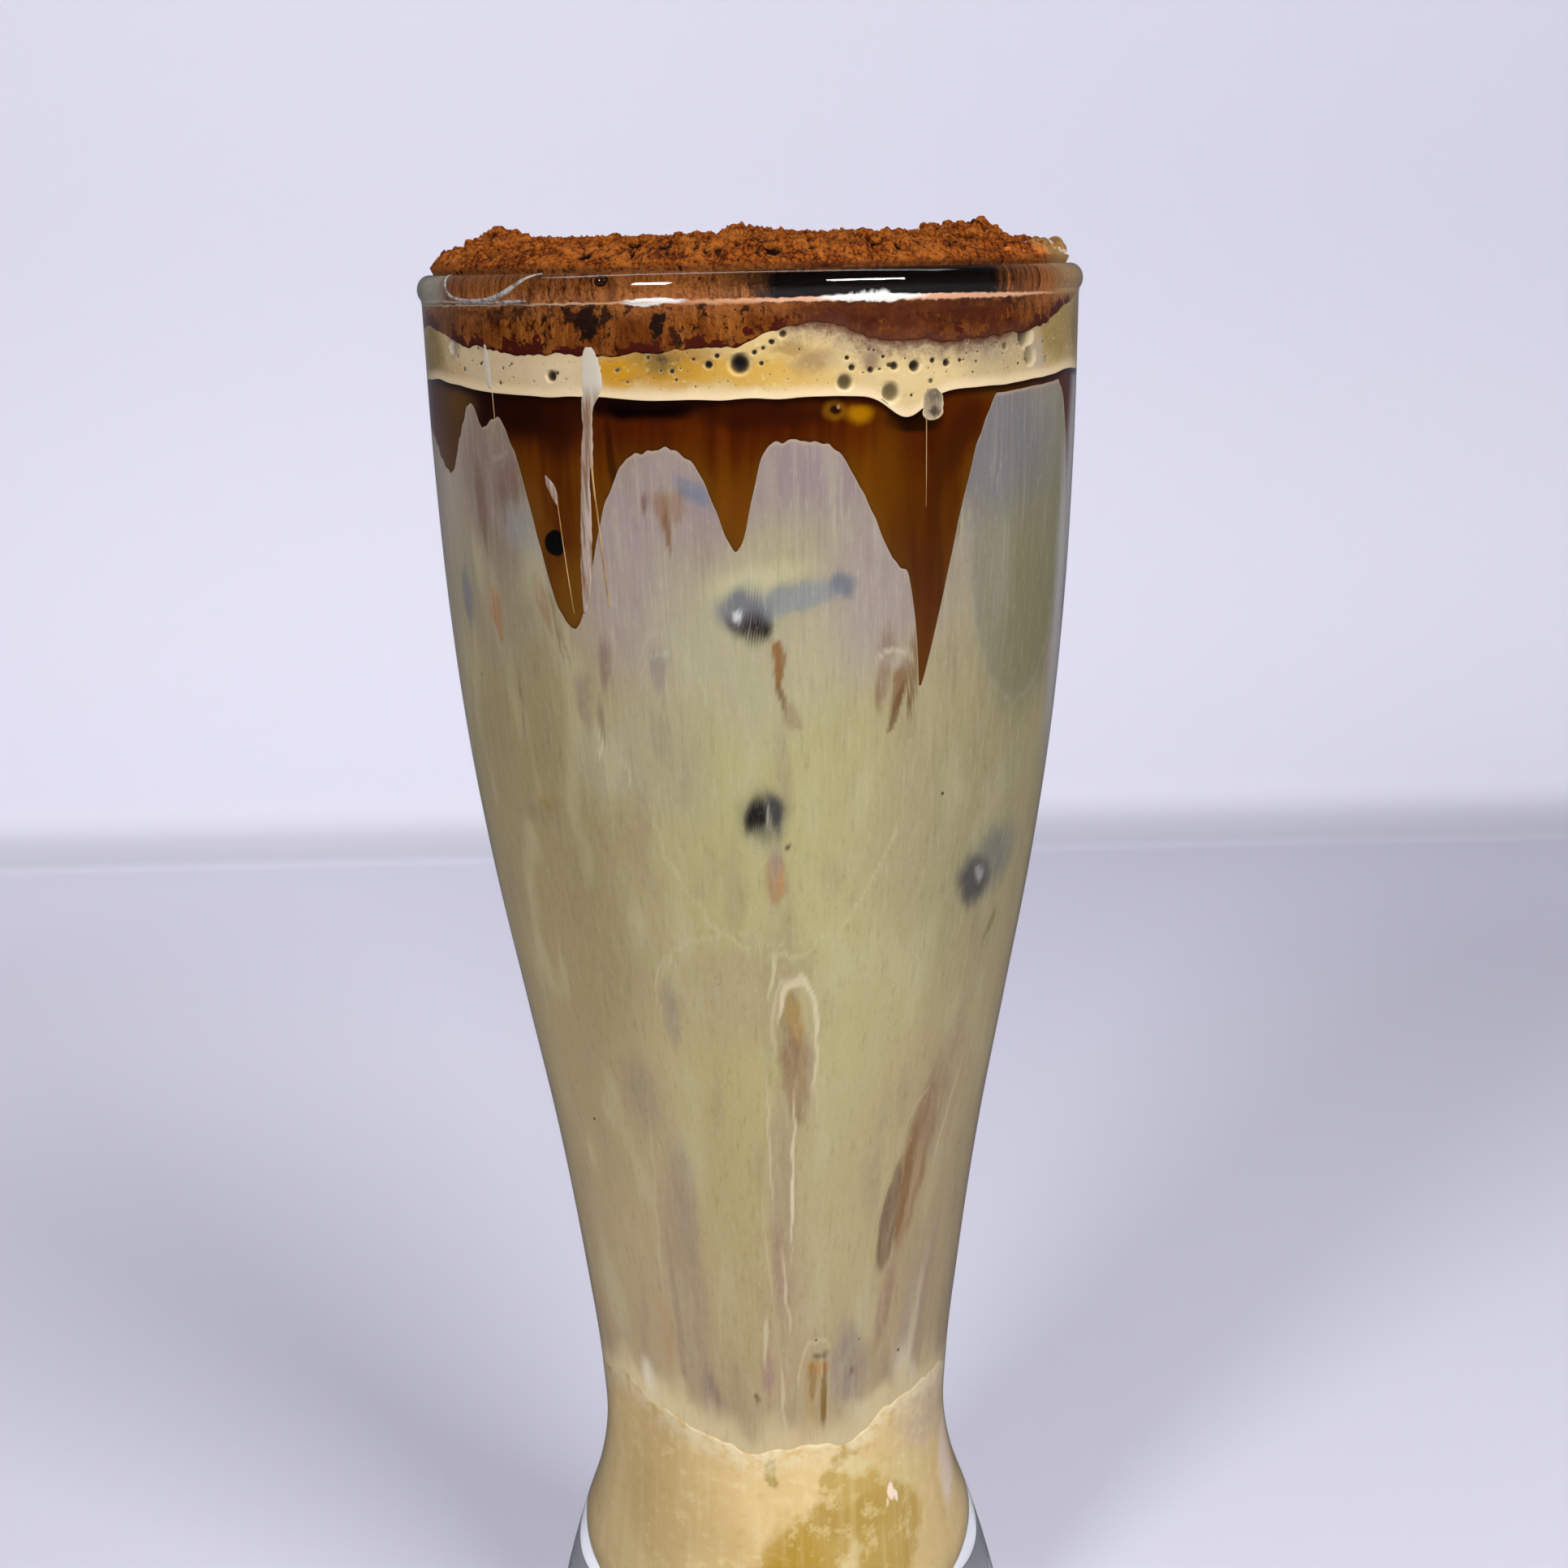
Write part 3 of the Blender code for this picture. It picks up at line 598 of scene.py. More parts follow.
MILK_SHAPES = [
    (-55.3, 167, 1.5, 4.6, 3, 0.4, 0.3, 0.85, (112, 88, 76)),
    (-46, 170, 3.6, 2.0, 0, 0, 0.35, 0.75, (116, 92, 80)),
    (-48.5, 167.4, 0.9, 2.4, 3, 0.5, 0.3, 0.8, (104, 80, 68)),
    (-45, 168, 0.8, 2.2, 0, 0.5, 0.3, 0.8, (108, 84, 72)),
    (-53.9, 154.8, 1.7, 3.3, 6, 0.2, 0.3, 0.8, (152, 104, 66)),
    (-40.5, 156.6, 1.0, 3.2, 14, 0.5, 0.25, 0.7, (146, 112, 84)),
    (-38.0, 154.4, 0.5, 3.6, 10, 0.4, 0.3, 0.75, (126, 100, 76)),
    (-36.3, 152.8, 0.4, 2.6, 8, 0.4, 0.3, 0.6, (130, 108, 84)),
    (-15.6, 167.6, 1.4, 2.2, 4, 0.4, 0.35, 0.8, (142, 102, 70)),
    (-13.0, 168.0, 1.2, 1.9, -6, 0.4, 0.35, 0.75, (140, 104, 78)),
    (-14.6, 165.4, 0.55, 2.2, 4, 0.6, 0.25, 0.85, (124, 84, 50)),
    (-18.7, 168.4, 0.7, 1.2, 0, 0.3, 0.35, 0.75, (116, 82, 72)),
    (-28.2, 151, 1.2, 2.9, 2, 0.3, 0.4, 0.8, (128, 100, 92)),
    (-33, 146.2, 1.6, 3.2, 3, 0.3, 0.45, 0.75, (132, 110, 98)),
    (-29.6, 143.8, 0.6, 2.6, 8, 0.5, 0.3, 0.6, (122, 98, 84)),
    (-17.9, 150.4, 1.3, 2.5, -4, 0.4, 0.35, 0.7, (142, 128, 124)),
    (-49.1, 144.4, 0.5, 4.2, -3, 0, 0.4, 0.75, (118, 98, 76)),
    (3.3, 150.8, 1.0, 2.9, 3, 0.5, 0.14, 0.95, (136, 84, 28)),
    (4.0, 147.0, 0.5, 2.0, 12, 0.3, 0.2, 0.85, (116, 84, 50)),
    (5.6, 145.2, 1.2, 1.4, 20, -0.2, 0.4, 0.7, (150, 122, 96)),
    (22.6, 149.6, 1.6, 4.4, -6, 0.3, 0.35, 0.75, (132, 100, 80)),
    (26.2, 148.4, 1.6, 4.8, -17, 0.4, 0.22, 0.85, (124, 86, 52)),
    (25.2, 145.8, 0.7, 3.6, -20, 0.3, 0.2, 0.8, (106, 70, 34)),
    (28.6, 147.6, 0.8, 3.4, -12, 0.4, 0.2, 0.9, (104, 66, 20)),
    (24.0, 150.8, 3.4, 1.2, 4, 0, 0.5, 0.5, (176, 160, 148)),
    (36.6, 164.4, 0.6, 1.2, 0, 0.2, 0.35, 0.85, (106, 76, 70)),
    (38.9, 175.8, 0.6, 1.0, -14, 0.4, 0.3, 0.85, (76, 58, 18)),
    (47, 168.4, 0.9, 2.0, -8, 0.2, 0.4, 0.55, (146, 138, 146)),
    (2.4, 126.3, 2.4, 2.6, 0, 0, 0.25, 0.85, (164, 122, 90)),
    (3.4, 126.5, 0.7, 2.2, 0, 0, 0.3, 0.8, (184, 130, 74)),
    (2.4, 128.6, 1.4, 2.0, 0, 0, 0.5, 0.6, (150, 134, 128)),
    (4.8, 106.6, 3.0, 6.0, -2, 0, 0.18, 0.85, (148, 126, 92)),
    (7.2, 101.6, 3.6, 6.6, 1, 0.2, 0.2, 0.85, (142, 112, 84)),
    (6.4, 108.6, 1.7, 3.2, 10, 0.3, 0.3, 0.8, (166, 132, 74)),
    (10.2, 102, 0.9, 6.8, 2, 0, 0.3, 0.5, (174, 156, 134)),
    (-21.6, 109, 2.3, 4.0, 0, 0.4, 0.4, 0.65, (144, 126, 114)),
    (-33, 98, 5.0, 4.6, 0, 0, 0.6, 0.5, (138, 122, 108)),
    (42.4, 86.4, 5.0, 11.0, -8, 0.1, 0.25, 0.9, (146, 112, 78)),
    (40.0, 84.0, 1.6, 8.0, -6, 0.1, 0.3, 0.85, (126, 88, 52)),
    (35.4, 80.6, 2.7, 7.4, -7, -0.3, 0.2, 0.9, (110, 84, 68)),
    (44.6, 88, 1.3, 9.0, -10, 0.2, 0.3, 0.7, (176, 146, 116)),
    (48, 96, 5, 9, -14, 0, 0.5, 0.6, (142, 116, 94)),
    (36.6, 68, 2.6, 6.6, -12, 0.2, 0.4, 0.7, (150, 118, 98)),
    (46, 62, 2.2, 10, -8, 0, 0.5, 0.6, (162, 142, 132)),
    (55, 66, 2.0, 12, -6, 0, 0.5, 0.6, (156, 134, 122)),
    (51, 64, 1.6, 9, -8, 0, 0.5, 0.6, (198, 186, 170)),
    (24.5, 61.0, 6.4, 5.6, 8, -0.3, 0.5, 0.85, (142, 124, 116)),
    (26, 60, 0.9, 0.7, 0, 0, 0.5, 0.7, (108, 80, 60)),
    (13.4, 57, 4.2, 5.4, 0, 0, 0.12, 0.85, (168, 140, 98)),
    (14.4, 60.8, 3.6, 1.2, 0, 0, 0.3, 0.9, (180, 130, 76)),
    (16.4, 57, 1.1, 5.2, 0, 0, 0.25, 0.9, (118, 86, 34)),
    (12.4, 59, 1.2, 2.4, 0, 0.3, 0.4, 0.7, (132, 96, 40)),
    (14.8, 62.8, 2.8, 0.45, 6, 0, 0.3, 0.95, (72, 54, 34)),
    (-27, 72, 6.4, 16, 2, -0.1, 0.35, 0.6, (150, 128, 108)),
    (-21.7, 56.6, 3.2, 4.6, 3, -0.2, 0.4, 0.75, (134, 110, 102)),
    (-24, 84, 3.4, 9, 3, 0.2, 0.4, 0.55, (146, 128, 114)),
    (-31, 66, 1.2, 12, 2, 0, 0.4, 0.5, (146, 122, 100)),
    (-36, 64, 2.0, 5.0, 0, 0, 0.5, 0.5, (172, 132, 92)),
    (3.2, 84, 3.4, 17, 1, -0.1, 0.25, 0.7, (162, 142, 116)),
    (2.2, 76, 2.0, 6, 3, 0, 0.4, 0.7, (158, 128, 108)),
    (-2.1, 60.8, 2.2, 2.8, 0, -0.2, 0.35, 0.8, (160, 126, 118)),
    (-6.4, 57.4, 0.5, 0.35, 0, 0, 0.4, 0.9, (60, 60, 52)),
    (-5.4, 57.0, 0.45, 0.3, 0, 0, 0.4, 0.9, (64, 62, 54)),
    (-6.2, 56.6, 0.4, 0.3, 0, 0, 0.4, 0.9, (70, 68, 58)),
    (-46.3, 54.4, 3.4, 4.2, 4, 0, 0.6, 0.95, (226, 222, 206)),
    (50, 55.6, 9, 2.6, -58, 0, 0.6, 0.85, (212, 200, 176)),
    (34, 52.6, 9, 1.8, -20, 0, 0.6, 0.7, (208, 194, 164)),
    (57.3, 115.6, 0.9, 2.4, -24, 0.3, 0.35, 0.8, (124, 110, 68)),
    (-45.8, 133.6, 2.6, 0.9, 10, 0, 0.6, 0.7, (144, 114, 62)),
    (-50, 132, 6, 1.2, 0, 0, 0.7, 0.4, (128, 112, 84)),
    (118, 110, 5, 14, 6, 0.3, 0.2, 0.8, (146, 118, 86)),
    (-100, 90, 5, 15, -6, 0.3, 0.2, 0.8, (146, 116, 86)),
    (170, 92, 4, 16, 4, 0.3, 0.2, 0.8, (142, 114, 84)),
    (-165, 66, 5, 12, 0, 0, 0.4, 0.7, (150, 128, 112)),
    (140, 152, 2, 5, 8, 0.5, 0.2, 0.8, (138, 96, 54)),
    (-150, 148, 2, 5, -8, 0.5, 0.2, 0.8, (138, 98, 60)),
]
ICE_SPOTS = [
    (0.3, 160.2, 8.0, 1.3, 12, 0, 0.6, 0.6, (200, 192, 150)),
    (6.5, 158.0, 9.4, 1.5, 13, 0, 0.4, 0.9, (138, 140, 142)),
    (14.8, 159.4, 2.2, 1.1, 10, 0, 0.5, 0.8, (104, 108, 122)),
    (-2.6, 156.8, 4.6, 2.2, 0, 0, 0.4, 0.9, (112, 112, 120)),
    (-0.6, 154.8, 3.4, 1.5, 12, 0, 0.4, 1.0, (34, 28, 24)),
    (-3.6, 155.4, 1.6, 0.8, 0, 0, 0.5, 0.8, (88, 82, 80)),
    # Painted highlight: a bright speck on the ice
    (-3.4, 156.0, 0.7, 0.5, 0, 0, 0.5, 0.95, (214, 212, 214)),
    (-1.6, 154.6, 0.4, 0.4, 0, 0, 0.5, 0.7, (150, 144, 140)),
    (-10.2, 169.6, 3.4, 1.0, -36, 0, 0.4, 0.95, (122, 124, 138)),
    (0.2, 133.6, 4.2, 3.0, 0, 0, 0.5, 0.85, (112, 108, 92)),
    (-1.0, 134.0, 2.1, 2.3, -22, 0, 0.4, 1.0, (22, 18, 16)),
    (2.4, 134.0, 1.3, 2.2, 8, 0, 0.45, 0.95, (62, 60, 60)),
    (1.0, 133.8, 0.35, 1.5, 2, 0, 0.5, 0.8, (168, 160, 150)),
    (4.6, 129.8, 0.55, 0.4, 0, 0, 0.4, 0.9, (46, 44, 38)),
    (54, 124.6, 9, 3.8, 18, 0, 0.6, 0.9, (122, 118, 110)),
    (48.6, 122.8, 4.6, 3.2, 36, 0, 0.45, 0.95, (80, 76, 74)),
    (50, 123.4, 1.4, 0.9, 30, 0, 0.6, 0.7, (172, 170, 168)),
    (-65, 156, 2.4, 3.2, 3, 0, 0.5, 0.75, (104, 104, 116)),
    (-44, 165, 5, 2.6, 0, 0, 0.6, 0.5, (142, 142, 144)),
    (150, 150, 8, 3, 20, 0, 0.5, 0.8, (124, 122, 124)),
    (-125, 140, 7, 3, -20, 0, 0.5, 0.8, (122, 120, 120)),
]
# Pale edges: (angle, height, half-angle, half-height, lean, taper, direction, reach, thickness, strength,
# colour)
MILK_EDGES = [
    (3, 146, 27, 29, 0, 0, -90, 0.2, 0.012, 0.5, (196, 188, 144)),
    (56, 165, 16.5, 21.6, 0, 0, -110, 0.1, 0.03, 0.35, (168, 162, 138)),
    (6.6, 104.5, 5.0, 9.2, -1, 0, 60, -0.2, 0.1, 0.95, (212, 196, 164)),
    (4.6, 109, 3.6, 5.0, -8, 0, 150, -0.1, 0.12, 0.7, (198, 182, 150)),
    (24.6, 148.4, 4.4, 3.6, 4, 0, 90, 0.3, 0.08, 0.8, (198, 184, 164)),
    (-7, 110, 17, 10, 0, 0, 100, 0.3, 0.03, 0.5, (192, 180, 148)),
    (-21, 111, 3.4, 5.2, 2, 0, 120, 0, 0.1, 0.45, (196, 182, 150)),
    (-16, 146, 7.0, 6.2, 0, 0, 60, 0.2, 0.04, 0.5, (196, 190, 162)),
    (-32, 142, 2.0, 1.6, 20, 0, -30, 0, 0.16, 0.8, (206, 196, 164)),
    (-27, 138, 2.2, 2.0, -10, 0, 30, 0, 0.14, 0.5, (196, 186, 156)),
    (5.2, 145.4, 2.6, 2.2, 10, 0, 20, 0.1, 0.12, 0.6, (186, 166, 140)),
    (37.6, 83.6, 5.6, 13.4, -16, 0, 165, 0.1, 0.05, 0.5, (192, 176, 144)),
    (14, 59, 6.6, 6.0, 0, 0, 120, 0.2, 0.08, 0.6, (204, 184, 146)),
    (-46, 171.6, 4.6, 1.6, 0, 0, 90, 0.2, 0.12, 0.6, (158, 140, 134)),
    (47.5, 168.6, 1.8, 3.0, -8, 0, 160, 0.1, 0.14, 0.5, (172, 166, 166)),
    (-18, 151, 3.0, 3.6, -4, 0, 160, 0.1, 0.1, 0.4, (188, 176, 156)),
]
# Pale threads drawn in the milk, as narrow ovals
MILK_THREADS = [
    (0.0, 92, 0.35, 9.0, 3, 0, 0.4, 0.75, (202, 184, 156)),
    (-1.4, 78, 0.35, 8.0, 5, 0, 0.4, 0.55, (198, 180, 152)),
    (5.8, 88, 0.4, 11.0, -1, 0, 0.4, 0.95, (212, 196, 166)),
    (4.0, 72, 0.4, 6.0, 6, 0, 0.4, 0.7, (206, 190, 160)),
    (1.2, 114.6, 0.5, 2.8, -10, 0, 0.4, 0.75, (206, 194, 154)),
    (11.6, 98, 0.4, 6.0, 0, 0, 0.4, 0.5, (196, 178, 148)),
    (-33.4, 84, 0.4, 14, -6, 0, 0.4, 0.35, (190, 172, 146)),
    (-16, 70, 0.4, 8, -8, 0, 0.4, 0.35, (194, 174, 144)),
    (-2.8, 65.4, 0.7, 3.0, -6, 0, 0.4, 0.7, (206, 194, 166)),
    (2.6, 57, 0.5, 5.6, 4, 0, 0.4, 0.7, (204, 186, 156)),
    (-52, 168.6, 0.6, 3.4, 3, 0, 0.4, 0.5, (150, 132, 126)),
    (46, 118, 0.4, 8, -12, 0, 0.4, 0.3, (186, 172, 136)),
    (53, 92, 0.5, 7, -14, 0, 0.4, 0.6, (196, 178, 152)),
]


class Painting:
    """Colours of the points of a piece's side, painted with shapes that lie on the glass's wall."""

    def __init__(self, angles, heights, ground):
        self.angles = np.broadcast_to(angles, heights.shape)
        self.heights = heights
        self.colours = np.broadcast_to(np.array(ground[:3]), (*heights.shape, 3)).copy()

    def noise(self, across, along, seed=0):
        """Noise with features of these sizes in millimetres, about -1 to 1."""
        turn = np.radians(self.angles)
        radius = outer_radius(self.heights) / across
        spots = np.stack([radius * np.sin(turn), -radius * np.cos(turn), self.heights / along], -1)
        return noise_at(spots, seed)

    def wander(self, reach, across, along, seed):
        """Lets the shapes painted from now on wander by about this many millimetres."""
        self.right = reach * self.noise(across, along, seed)
        self.up = 2 * reach * self.noise(across, along, seed + 1)

    def local(self, angle, height, half_angle, half_height, lean, taper):
        """Place within an oval: 1 unit from its middle to its edge. A taper narrows its foot."""
        right = angle_between(self.angles, angle) * ARC + self.right
        up = self.heights - height + self.up
        turn = np.radians(lean)
        x = (right * np.cos(turn) + up * np.sin(turn)) / (half_angle * ARC)
        y = (up * np.cos(turn) - right * np.sin(turn)) / half_height
        return x / np.maximum(1 + taper * y, 0.08), y

    def blend(self, cover, tint):
        self.colours += cover[..., None] * (np.array(srgb(*tint)[:3]) - self.colours)

    def paint(self, patches, mask=1.0):
        """Ovals of colour, listed as for Graph.paint."""
        for angle, height, half_angle, half_height, lean, taper, soft, strength, tint in patches:
            x, y = self.local(angle, height, half_angle, half_height, lean, taper)
            self.blend(mask * strength * smooth_step(np.hypot(x, y), 1 + soft, 1 - soft), tint)

    def outline(self, arcs):
        """Thin curved lines, each along the part of an oval's edge that faces a direction."""
        for angle, height, half_angle, half_height, lean, taper, facing, reach, thick, strength, tint in arcs:
            x, y = self.local(angle, height, half_angle, half_height, lean, taper)
            line = smooth_step(np.abs(np.hypot(x, y) - 1), thick, thick * 0.3)
            ahead = x * np.cos(np.radians(facing)) + y * np.sin(np.radians(facing))
            self.blend(strength * line * smooth_step(ahead, reach, reach + 0.4), tint)


def milk_colours(heights, low):
    painting = Painting(MILK_COLUMNS, heights, srgb(172, 150, 118))
    painting.blend(smooth_step(heights, 60, 120), (174, 158, 118))
    painting.blend(smooth_step(heights, 140, 172), (160, 146, 136))
    painting.wander(2.2, 7, 14, 11)
    painting.paint(MILK_ZONES)
    cloud = painting.noise(4, 15, 13) + 0.5 * painting.noise(1.8, 7, 14)
    painting.blend(smooth_step(cloud, 0.1, 0.8) * 0.35, (192, 182, 146))
    painting.blend(smooth_step(cloud, -0.1, -0.8) * 0.35, (144, 124, 102))
    painting.wander(0.4, 1.2, 6, 15)
    painting.paint(FINGER)
    painting.wander(0.45, 1.6, 3, 17)
    streaks = painting.noise(0.8, 7, 19)
    painting.paint(MILK_SHAPES, 0.85 + 0.35 * np.minimum(streaks, 0.4))
    painting.outline(MILK_EDGES)
    painting.paint(MILK_THREADS)
    painting.wander(0.4, 1.5, 3, 21)
    painting.paint(ICE_SPOTS)
    above = heights - low + 1.8 * painting.noise(2.2, 3.4, 23) + 3 * painting.noise(5, 9, 24)
    painting.blend(smooth_step(above, 5.5, 0.2) * 0.9, (206, 186, 146))
    # Painted light: the milk is made lighter low down and towards the sides, most on the left, where the
    # lamps light it less.
    turn = angle_between(painting.angles, 4)
    left, right = smooth_step(-turn, 12, 62), smooth_step(turn, 12, 62)
    low_down = smooth_step(heights, 150, 100)
    painted_light_middle = (0.18 - 0.06 * right) * low_down
    painted_light_lift = 1 + painted_light_middle + left * (0.38 + 0.24 * low_down) + right * (0.16 * low_down - 0.04)
    return painting.colours * painted_light_lift[..., None]


def milk_material():
    graph = Graph("milk coffee")
    colour = graph.node("ShaderNodeAttribute", attribute_name="tint").outputs["Color"]
    pale = graph.ramp(graph.vector("LENGTH", colour), 0.15, 0.5)
    fine = graph.noise(0.5, 26, 3, 0.6)
    light = graph.math("MULTIPLY", graph.ramp(fine, 0.5, 0.75, 0, 0.26), pale)
    colour = graph.mix(light, colour, srgb(204, 194, 172))
    colour = graph.tone(colour, fine, 0.46, 0.25, (120, 100, 84), 0.22)
    hair = graph.noise(0.16, 9, 2, 0.6)
    light = graph.math("MULTIPLY", graph.ramp(hair, 0.56, 0.74, 0, 0.2), pale)
    colour = graph.mix(light, colour, srgb(212, 202, 176))
    grain = graph.noise(0.7, 1.4, 4, 0.7)
    colour = graph.tone(colour, grain, 0.55, 0.72, (206, 196, 168), 0.16)
    colour = graph.tone(colour, grain, 0.45, 0.3, (120, 100, 84), 0.14)
    colour = graph.mix(graph.specks(5, 0.05, 0.03, 0.86, 0.9), colour, srgb(70, 60, 46))
    near_top = graph.ramp(graph.value("below_coffee"), 0.5, 0.1, 0, 0.7)
    colour = graph.mix(near_top, colour, srgb(186, 158, 140))
    return graph.finish(colour, 0.4, 0.03, shade=SHADE["milk"])


def build_milk_coffee():
    low, high = condensed_top(MILK_COLUMNS), milk_top(MILK_COLUMNS)
    reach = REACH["milk"]
    caps = cap_rings(low, MIDDLE_LEVELS["condensed"], (0.3, 0.6, 0.85), reach, MILK_COLUMNS)
    shares = [0, CREASE, *np.linspace(0, 1, MILK_ROWS)[1:]]
    sides = np.array([low + (high + RUN_ON - low) * t for t in shares])
    top = cap_rings(high, MIDDLE_LEVELS["milk"], (0.97, 0.9, 0.8, 0.65, 0.4), reach, MILK_COLUMNS)
    rings = caps + [on_wall(MILK_COLUMNS, height, reach) for height in sides] + top
    made = lofted("layered_milk", rings, milk_material(), "milk_coffee")
    attribute(made, "below_coffee", padded(caps, high - low, high - sides, 0 * high, top))
    colours = milk_colours(sides, low)
    attribute(made, "tint", padded(caps, colours[0], colours, colours[-1], top), 3)


# Dark and glowing places in the coffee
COFFEE_PATCHES = [
    (-46, 177.6, 15, 2.8, -4, 0, 0.5, 0.9, (30, 6, 2)),
    (-34, 176.0, 4, 3.0, 0, 0, 0.6, 0.8, (52, 16, 3)),
    (-18, 178.2, 12, 1.1, 0, 0, 0.5, 1.0, (12, 2, 1)),
    (2, 177.2, 12, 1.2, 0, 0, 0.6, 0.8, (50, 16, 3)),
    (-66, 172, 5.5, 10, 0, 0, 0.5, 0.85, (94, 60, 8)),
    (-60, 178, 5, 2, 0, 0, 0.6, 0.7, (110, 74, 14)),
    # Painted light at a bubble in the coffee: an amber glow beside it, a glowing ring round its dark middle
    # and a painted highlight on it
    (17.4, 177, 2.0, 0.9, 0, 0, 0.6, 0.9, (190, 128, 6)),
    (13.3, 177.5, 2.0, 1.2, 0, 0, 0.3, 0.75, (146, 92, 14)),
    (13.3, 177.5, 1.0, 0.6, 0, 0, 0.4, 0.95, (26, 6, 2)),
    (13.9, 177.9, 0.3, 0.25, 0, 0, 0.4, 0.9, (190, 140, 110)),
    (27, 176.2, 5.4, 1.1, -4, 0, 0.25, 1.0, (6, 2, 1)),
    (36, 173.6, 3, 5, -24, 0, 0.5, 0.7, (62, 22, 4)),
    (33, 160, 0.7, 12, 4, 0, 0.6, 0.5, (70, 34, 6)),
    (22, 170, 3.6, 6, 0, 0, 0.6, 0.5, (132, 76, 6)),
    (-4, 167, 3, 4, 0, 0, 0.6, 0.6, (128, 72, 4)),
    (-33, 158, 3.6, 4, 0, 0, 0.6, 0.7, (132, 84, 8)),
    (-40, 166.5, 2, 3.5, 10, 0, 0.6, 0.6, (128, 78, 22)),
    (-36.6, 163.7, 2.1, 1.35, -20, -0.3, 0.12, 1.0, (4, 3, 3)),
    (-24, 171, 0.8, 7, 3, 0, 0.5, 0.7, (44, 12, 2)),
    (50, 179.4, 12, 2.4, -8, 0, 0.5, 0.8, (112, 66, 12)),
    # Painted sheen of the glass at the coffee's right edge, as a broad pale lilac patch
    (90, 168, 16, 20, 0, 0, 0.2, 1.0, (206, 199, 202)),
    (30, 164, 8, 16, 0, 0, 0.6, 0.4, (70, 30, 2)),
]


def coffee_material():
    graph = Graph("black coffee")
    spot = graph.wall(0.9, 4.0)
    below = graph.value("below_foam")
    thick = graph.value("above_milk")
    streak = graph.noise(1.6, 18, 3, 0.55)
    amber = graph.mix(graph.ramp(streak, 0.3, 0.7), srgb(92, 40, 1), srgb(116, 60, 2))
    amber = graph.tone(amber, thick, 4.5, 0.5, (116, 72, 8), 0.5)
    brown = graph.mix(graph.ramp(streak, 0.35, 0.65), srgb(76, 26, 2), srgb(98, 40, 2))
    colour = graph.mix(graph.ramp(below, 3.0, 8.5), brown, amber)
    colour = graph.paint(colour, spot, COFFEE_PATCHES)
    colour = graph.tone(colour, below, 1.1, 0.2, (24, 6, 2), 0.9)
    colour = graph.tone(colour, thick, 0.35, 0.08, (60, 30, 6), 0.6)
    return graph.finish(colour, 0.3, 0.0, shade=SHADE["coffee"])


def build_black_coffee():
    low, high = milk_top(COLUMNS), foam_bottom(COLUMNS)
    reach = REACH["coffee"]
    caps = cap_rings(low, MIDDLE_LEVELS["milk"], (0.4, 0.65, 0.8, 0.9, 0.97), reach)
    shares = [0, 10 * CREASE, *np.linspace(0, 1, COFFEE_ROWS)[1:]]
    sides = np.array([low + (high + RUN_ON - low) * t for t in shares])
    top = cap_rings(high, MIDDLE_LEVELS["foam"], (0.9, 0.5), reach)
    rings = caps + [on_wall(COLUMNS, height, reach) for height in sides] + top
    made = lofted("dark_coffee", rings, coffee_material(), "black_coffee")
    attribute(made, "below_foam", padded(caps, high - low, high - sides, 0 * high, top))
    attribute(made, "above_milk", padded(caps, 0 * high, sides - low, high - low, top))


# Bubbles in the foam at the wall: (angle, height, radius, depth of the hollow, strength of the painted shade
# in the hollow)
LARGE_BUBBLES = [
    (-2, 182.5, 1.15, 0.9, 1.0),
    (-35, 181.4, 0.66, 0.8, 0.95),
    (15, 180.4, 0.95, 0.5, 0.55),
    (23, 179.2, 1.15, 0.5, 0.45),
    (-7, 182.5, 0.5, 0.8, 1.0),
    (-5.6, 183.4, 0.32, 0.8, 1.0),
    (-9.4, 183.1, 0.25, 0.8, 1.0),
    (0.4, 183.7, 0.33, 0.8, 1.0),
    (1.8, 184.1, 0.28, 0.8, 1.0),
    (3.2, 184.7, 0.36, 0.8, 1.0),
    (5.0, 185.5, 0.48, 0.7, 0.8),
    (53, 184.4, 1.5, 0.7, 0.6),
    (54.5, 182.2, 1.2, 0.5, 0.2),
    (15.4, 182.9, 0.3, 0.8, 1.0),
    (16.2, 181.9, 0.42, 0.8, 0.9),
    (19.4, 181.6, 0.42, 0.8, 0.9),
    (21.6, 182.9, 0.26, 0.8, 1.0),
    (23.6, 181.9, 0.52, 0.8, 0.9),
    (27.4, 181.8, 0.72, 0.8, 0.95),
    (30.8, 182.3, 0.36, 0.8, 1.0),
    (33.6, 182.0, 0.5, 0.8, 0.95),
    (36.4, 182.2, 0.28, 0.8, 1.0),
    (40, 182.0, 0.22, 0.8, 0.9),
    (30.5, 180.2, 0.34, 0.6, 0.4),
    (-62, 184.2, 0.8, 0.7, 0.7),
    (-22, 184.3, 0.3, 0.6, 0.6),
    (-13, 181.9, 0.34, 0.7, 0.9),
    (20, 183.6, 0.22, 0.8, 0.9),
    (47, 183.4, 0.5, 0.6, 0.5),
    (60, 181.6, 0.5, 0.6, 0.5),
]
SMALL_BUBBLE_COUNT = 260
SMALLEST_BUBBLE = 0.14
SMALL_BUBBLE_SPREAD = 0.2
BACK_BUBBLE_GROWTH = 2.2
# A bubble's colours fade out this many radii from its middle
BUBBLE_FADE = 1.6
# Painted shade fills a bubble's hollow out to this many radii from its middle
BUBBLE_DARK = 1.1
# Cocoa dust that fades down into the foam on the right: (depth, size of its grains, strength, colour)
FOAM_MIST = [
    (4.6, 2.4, 0.75, (150, 132, 118)),
    (3.4, 0.7, 0.8, (122, 96, 84)),
    (2.2, 1.4, 0.9, (104, 66, 48)),
    (1.0, 0.9, 0.95, (96, 50, 28)),
]


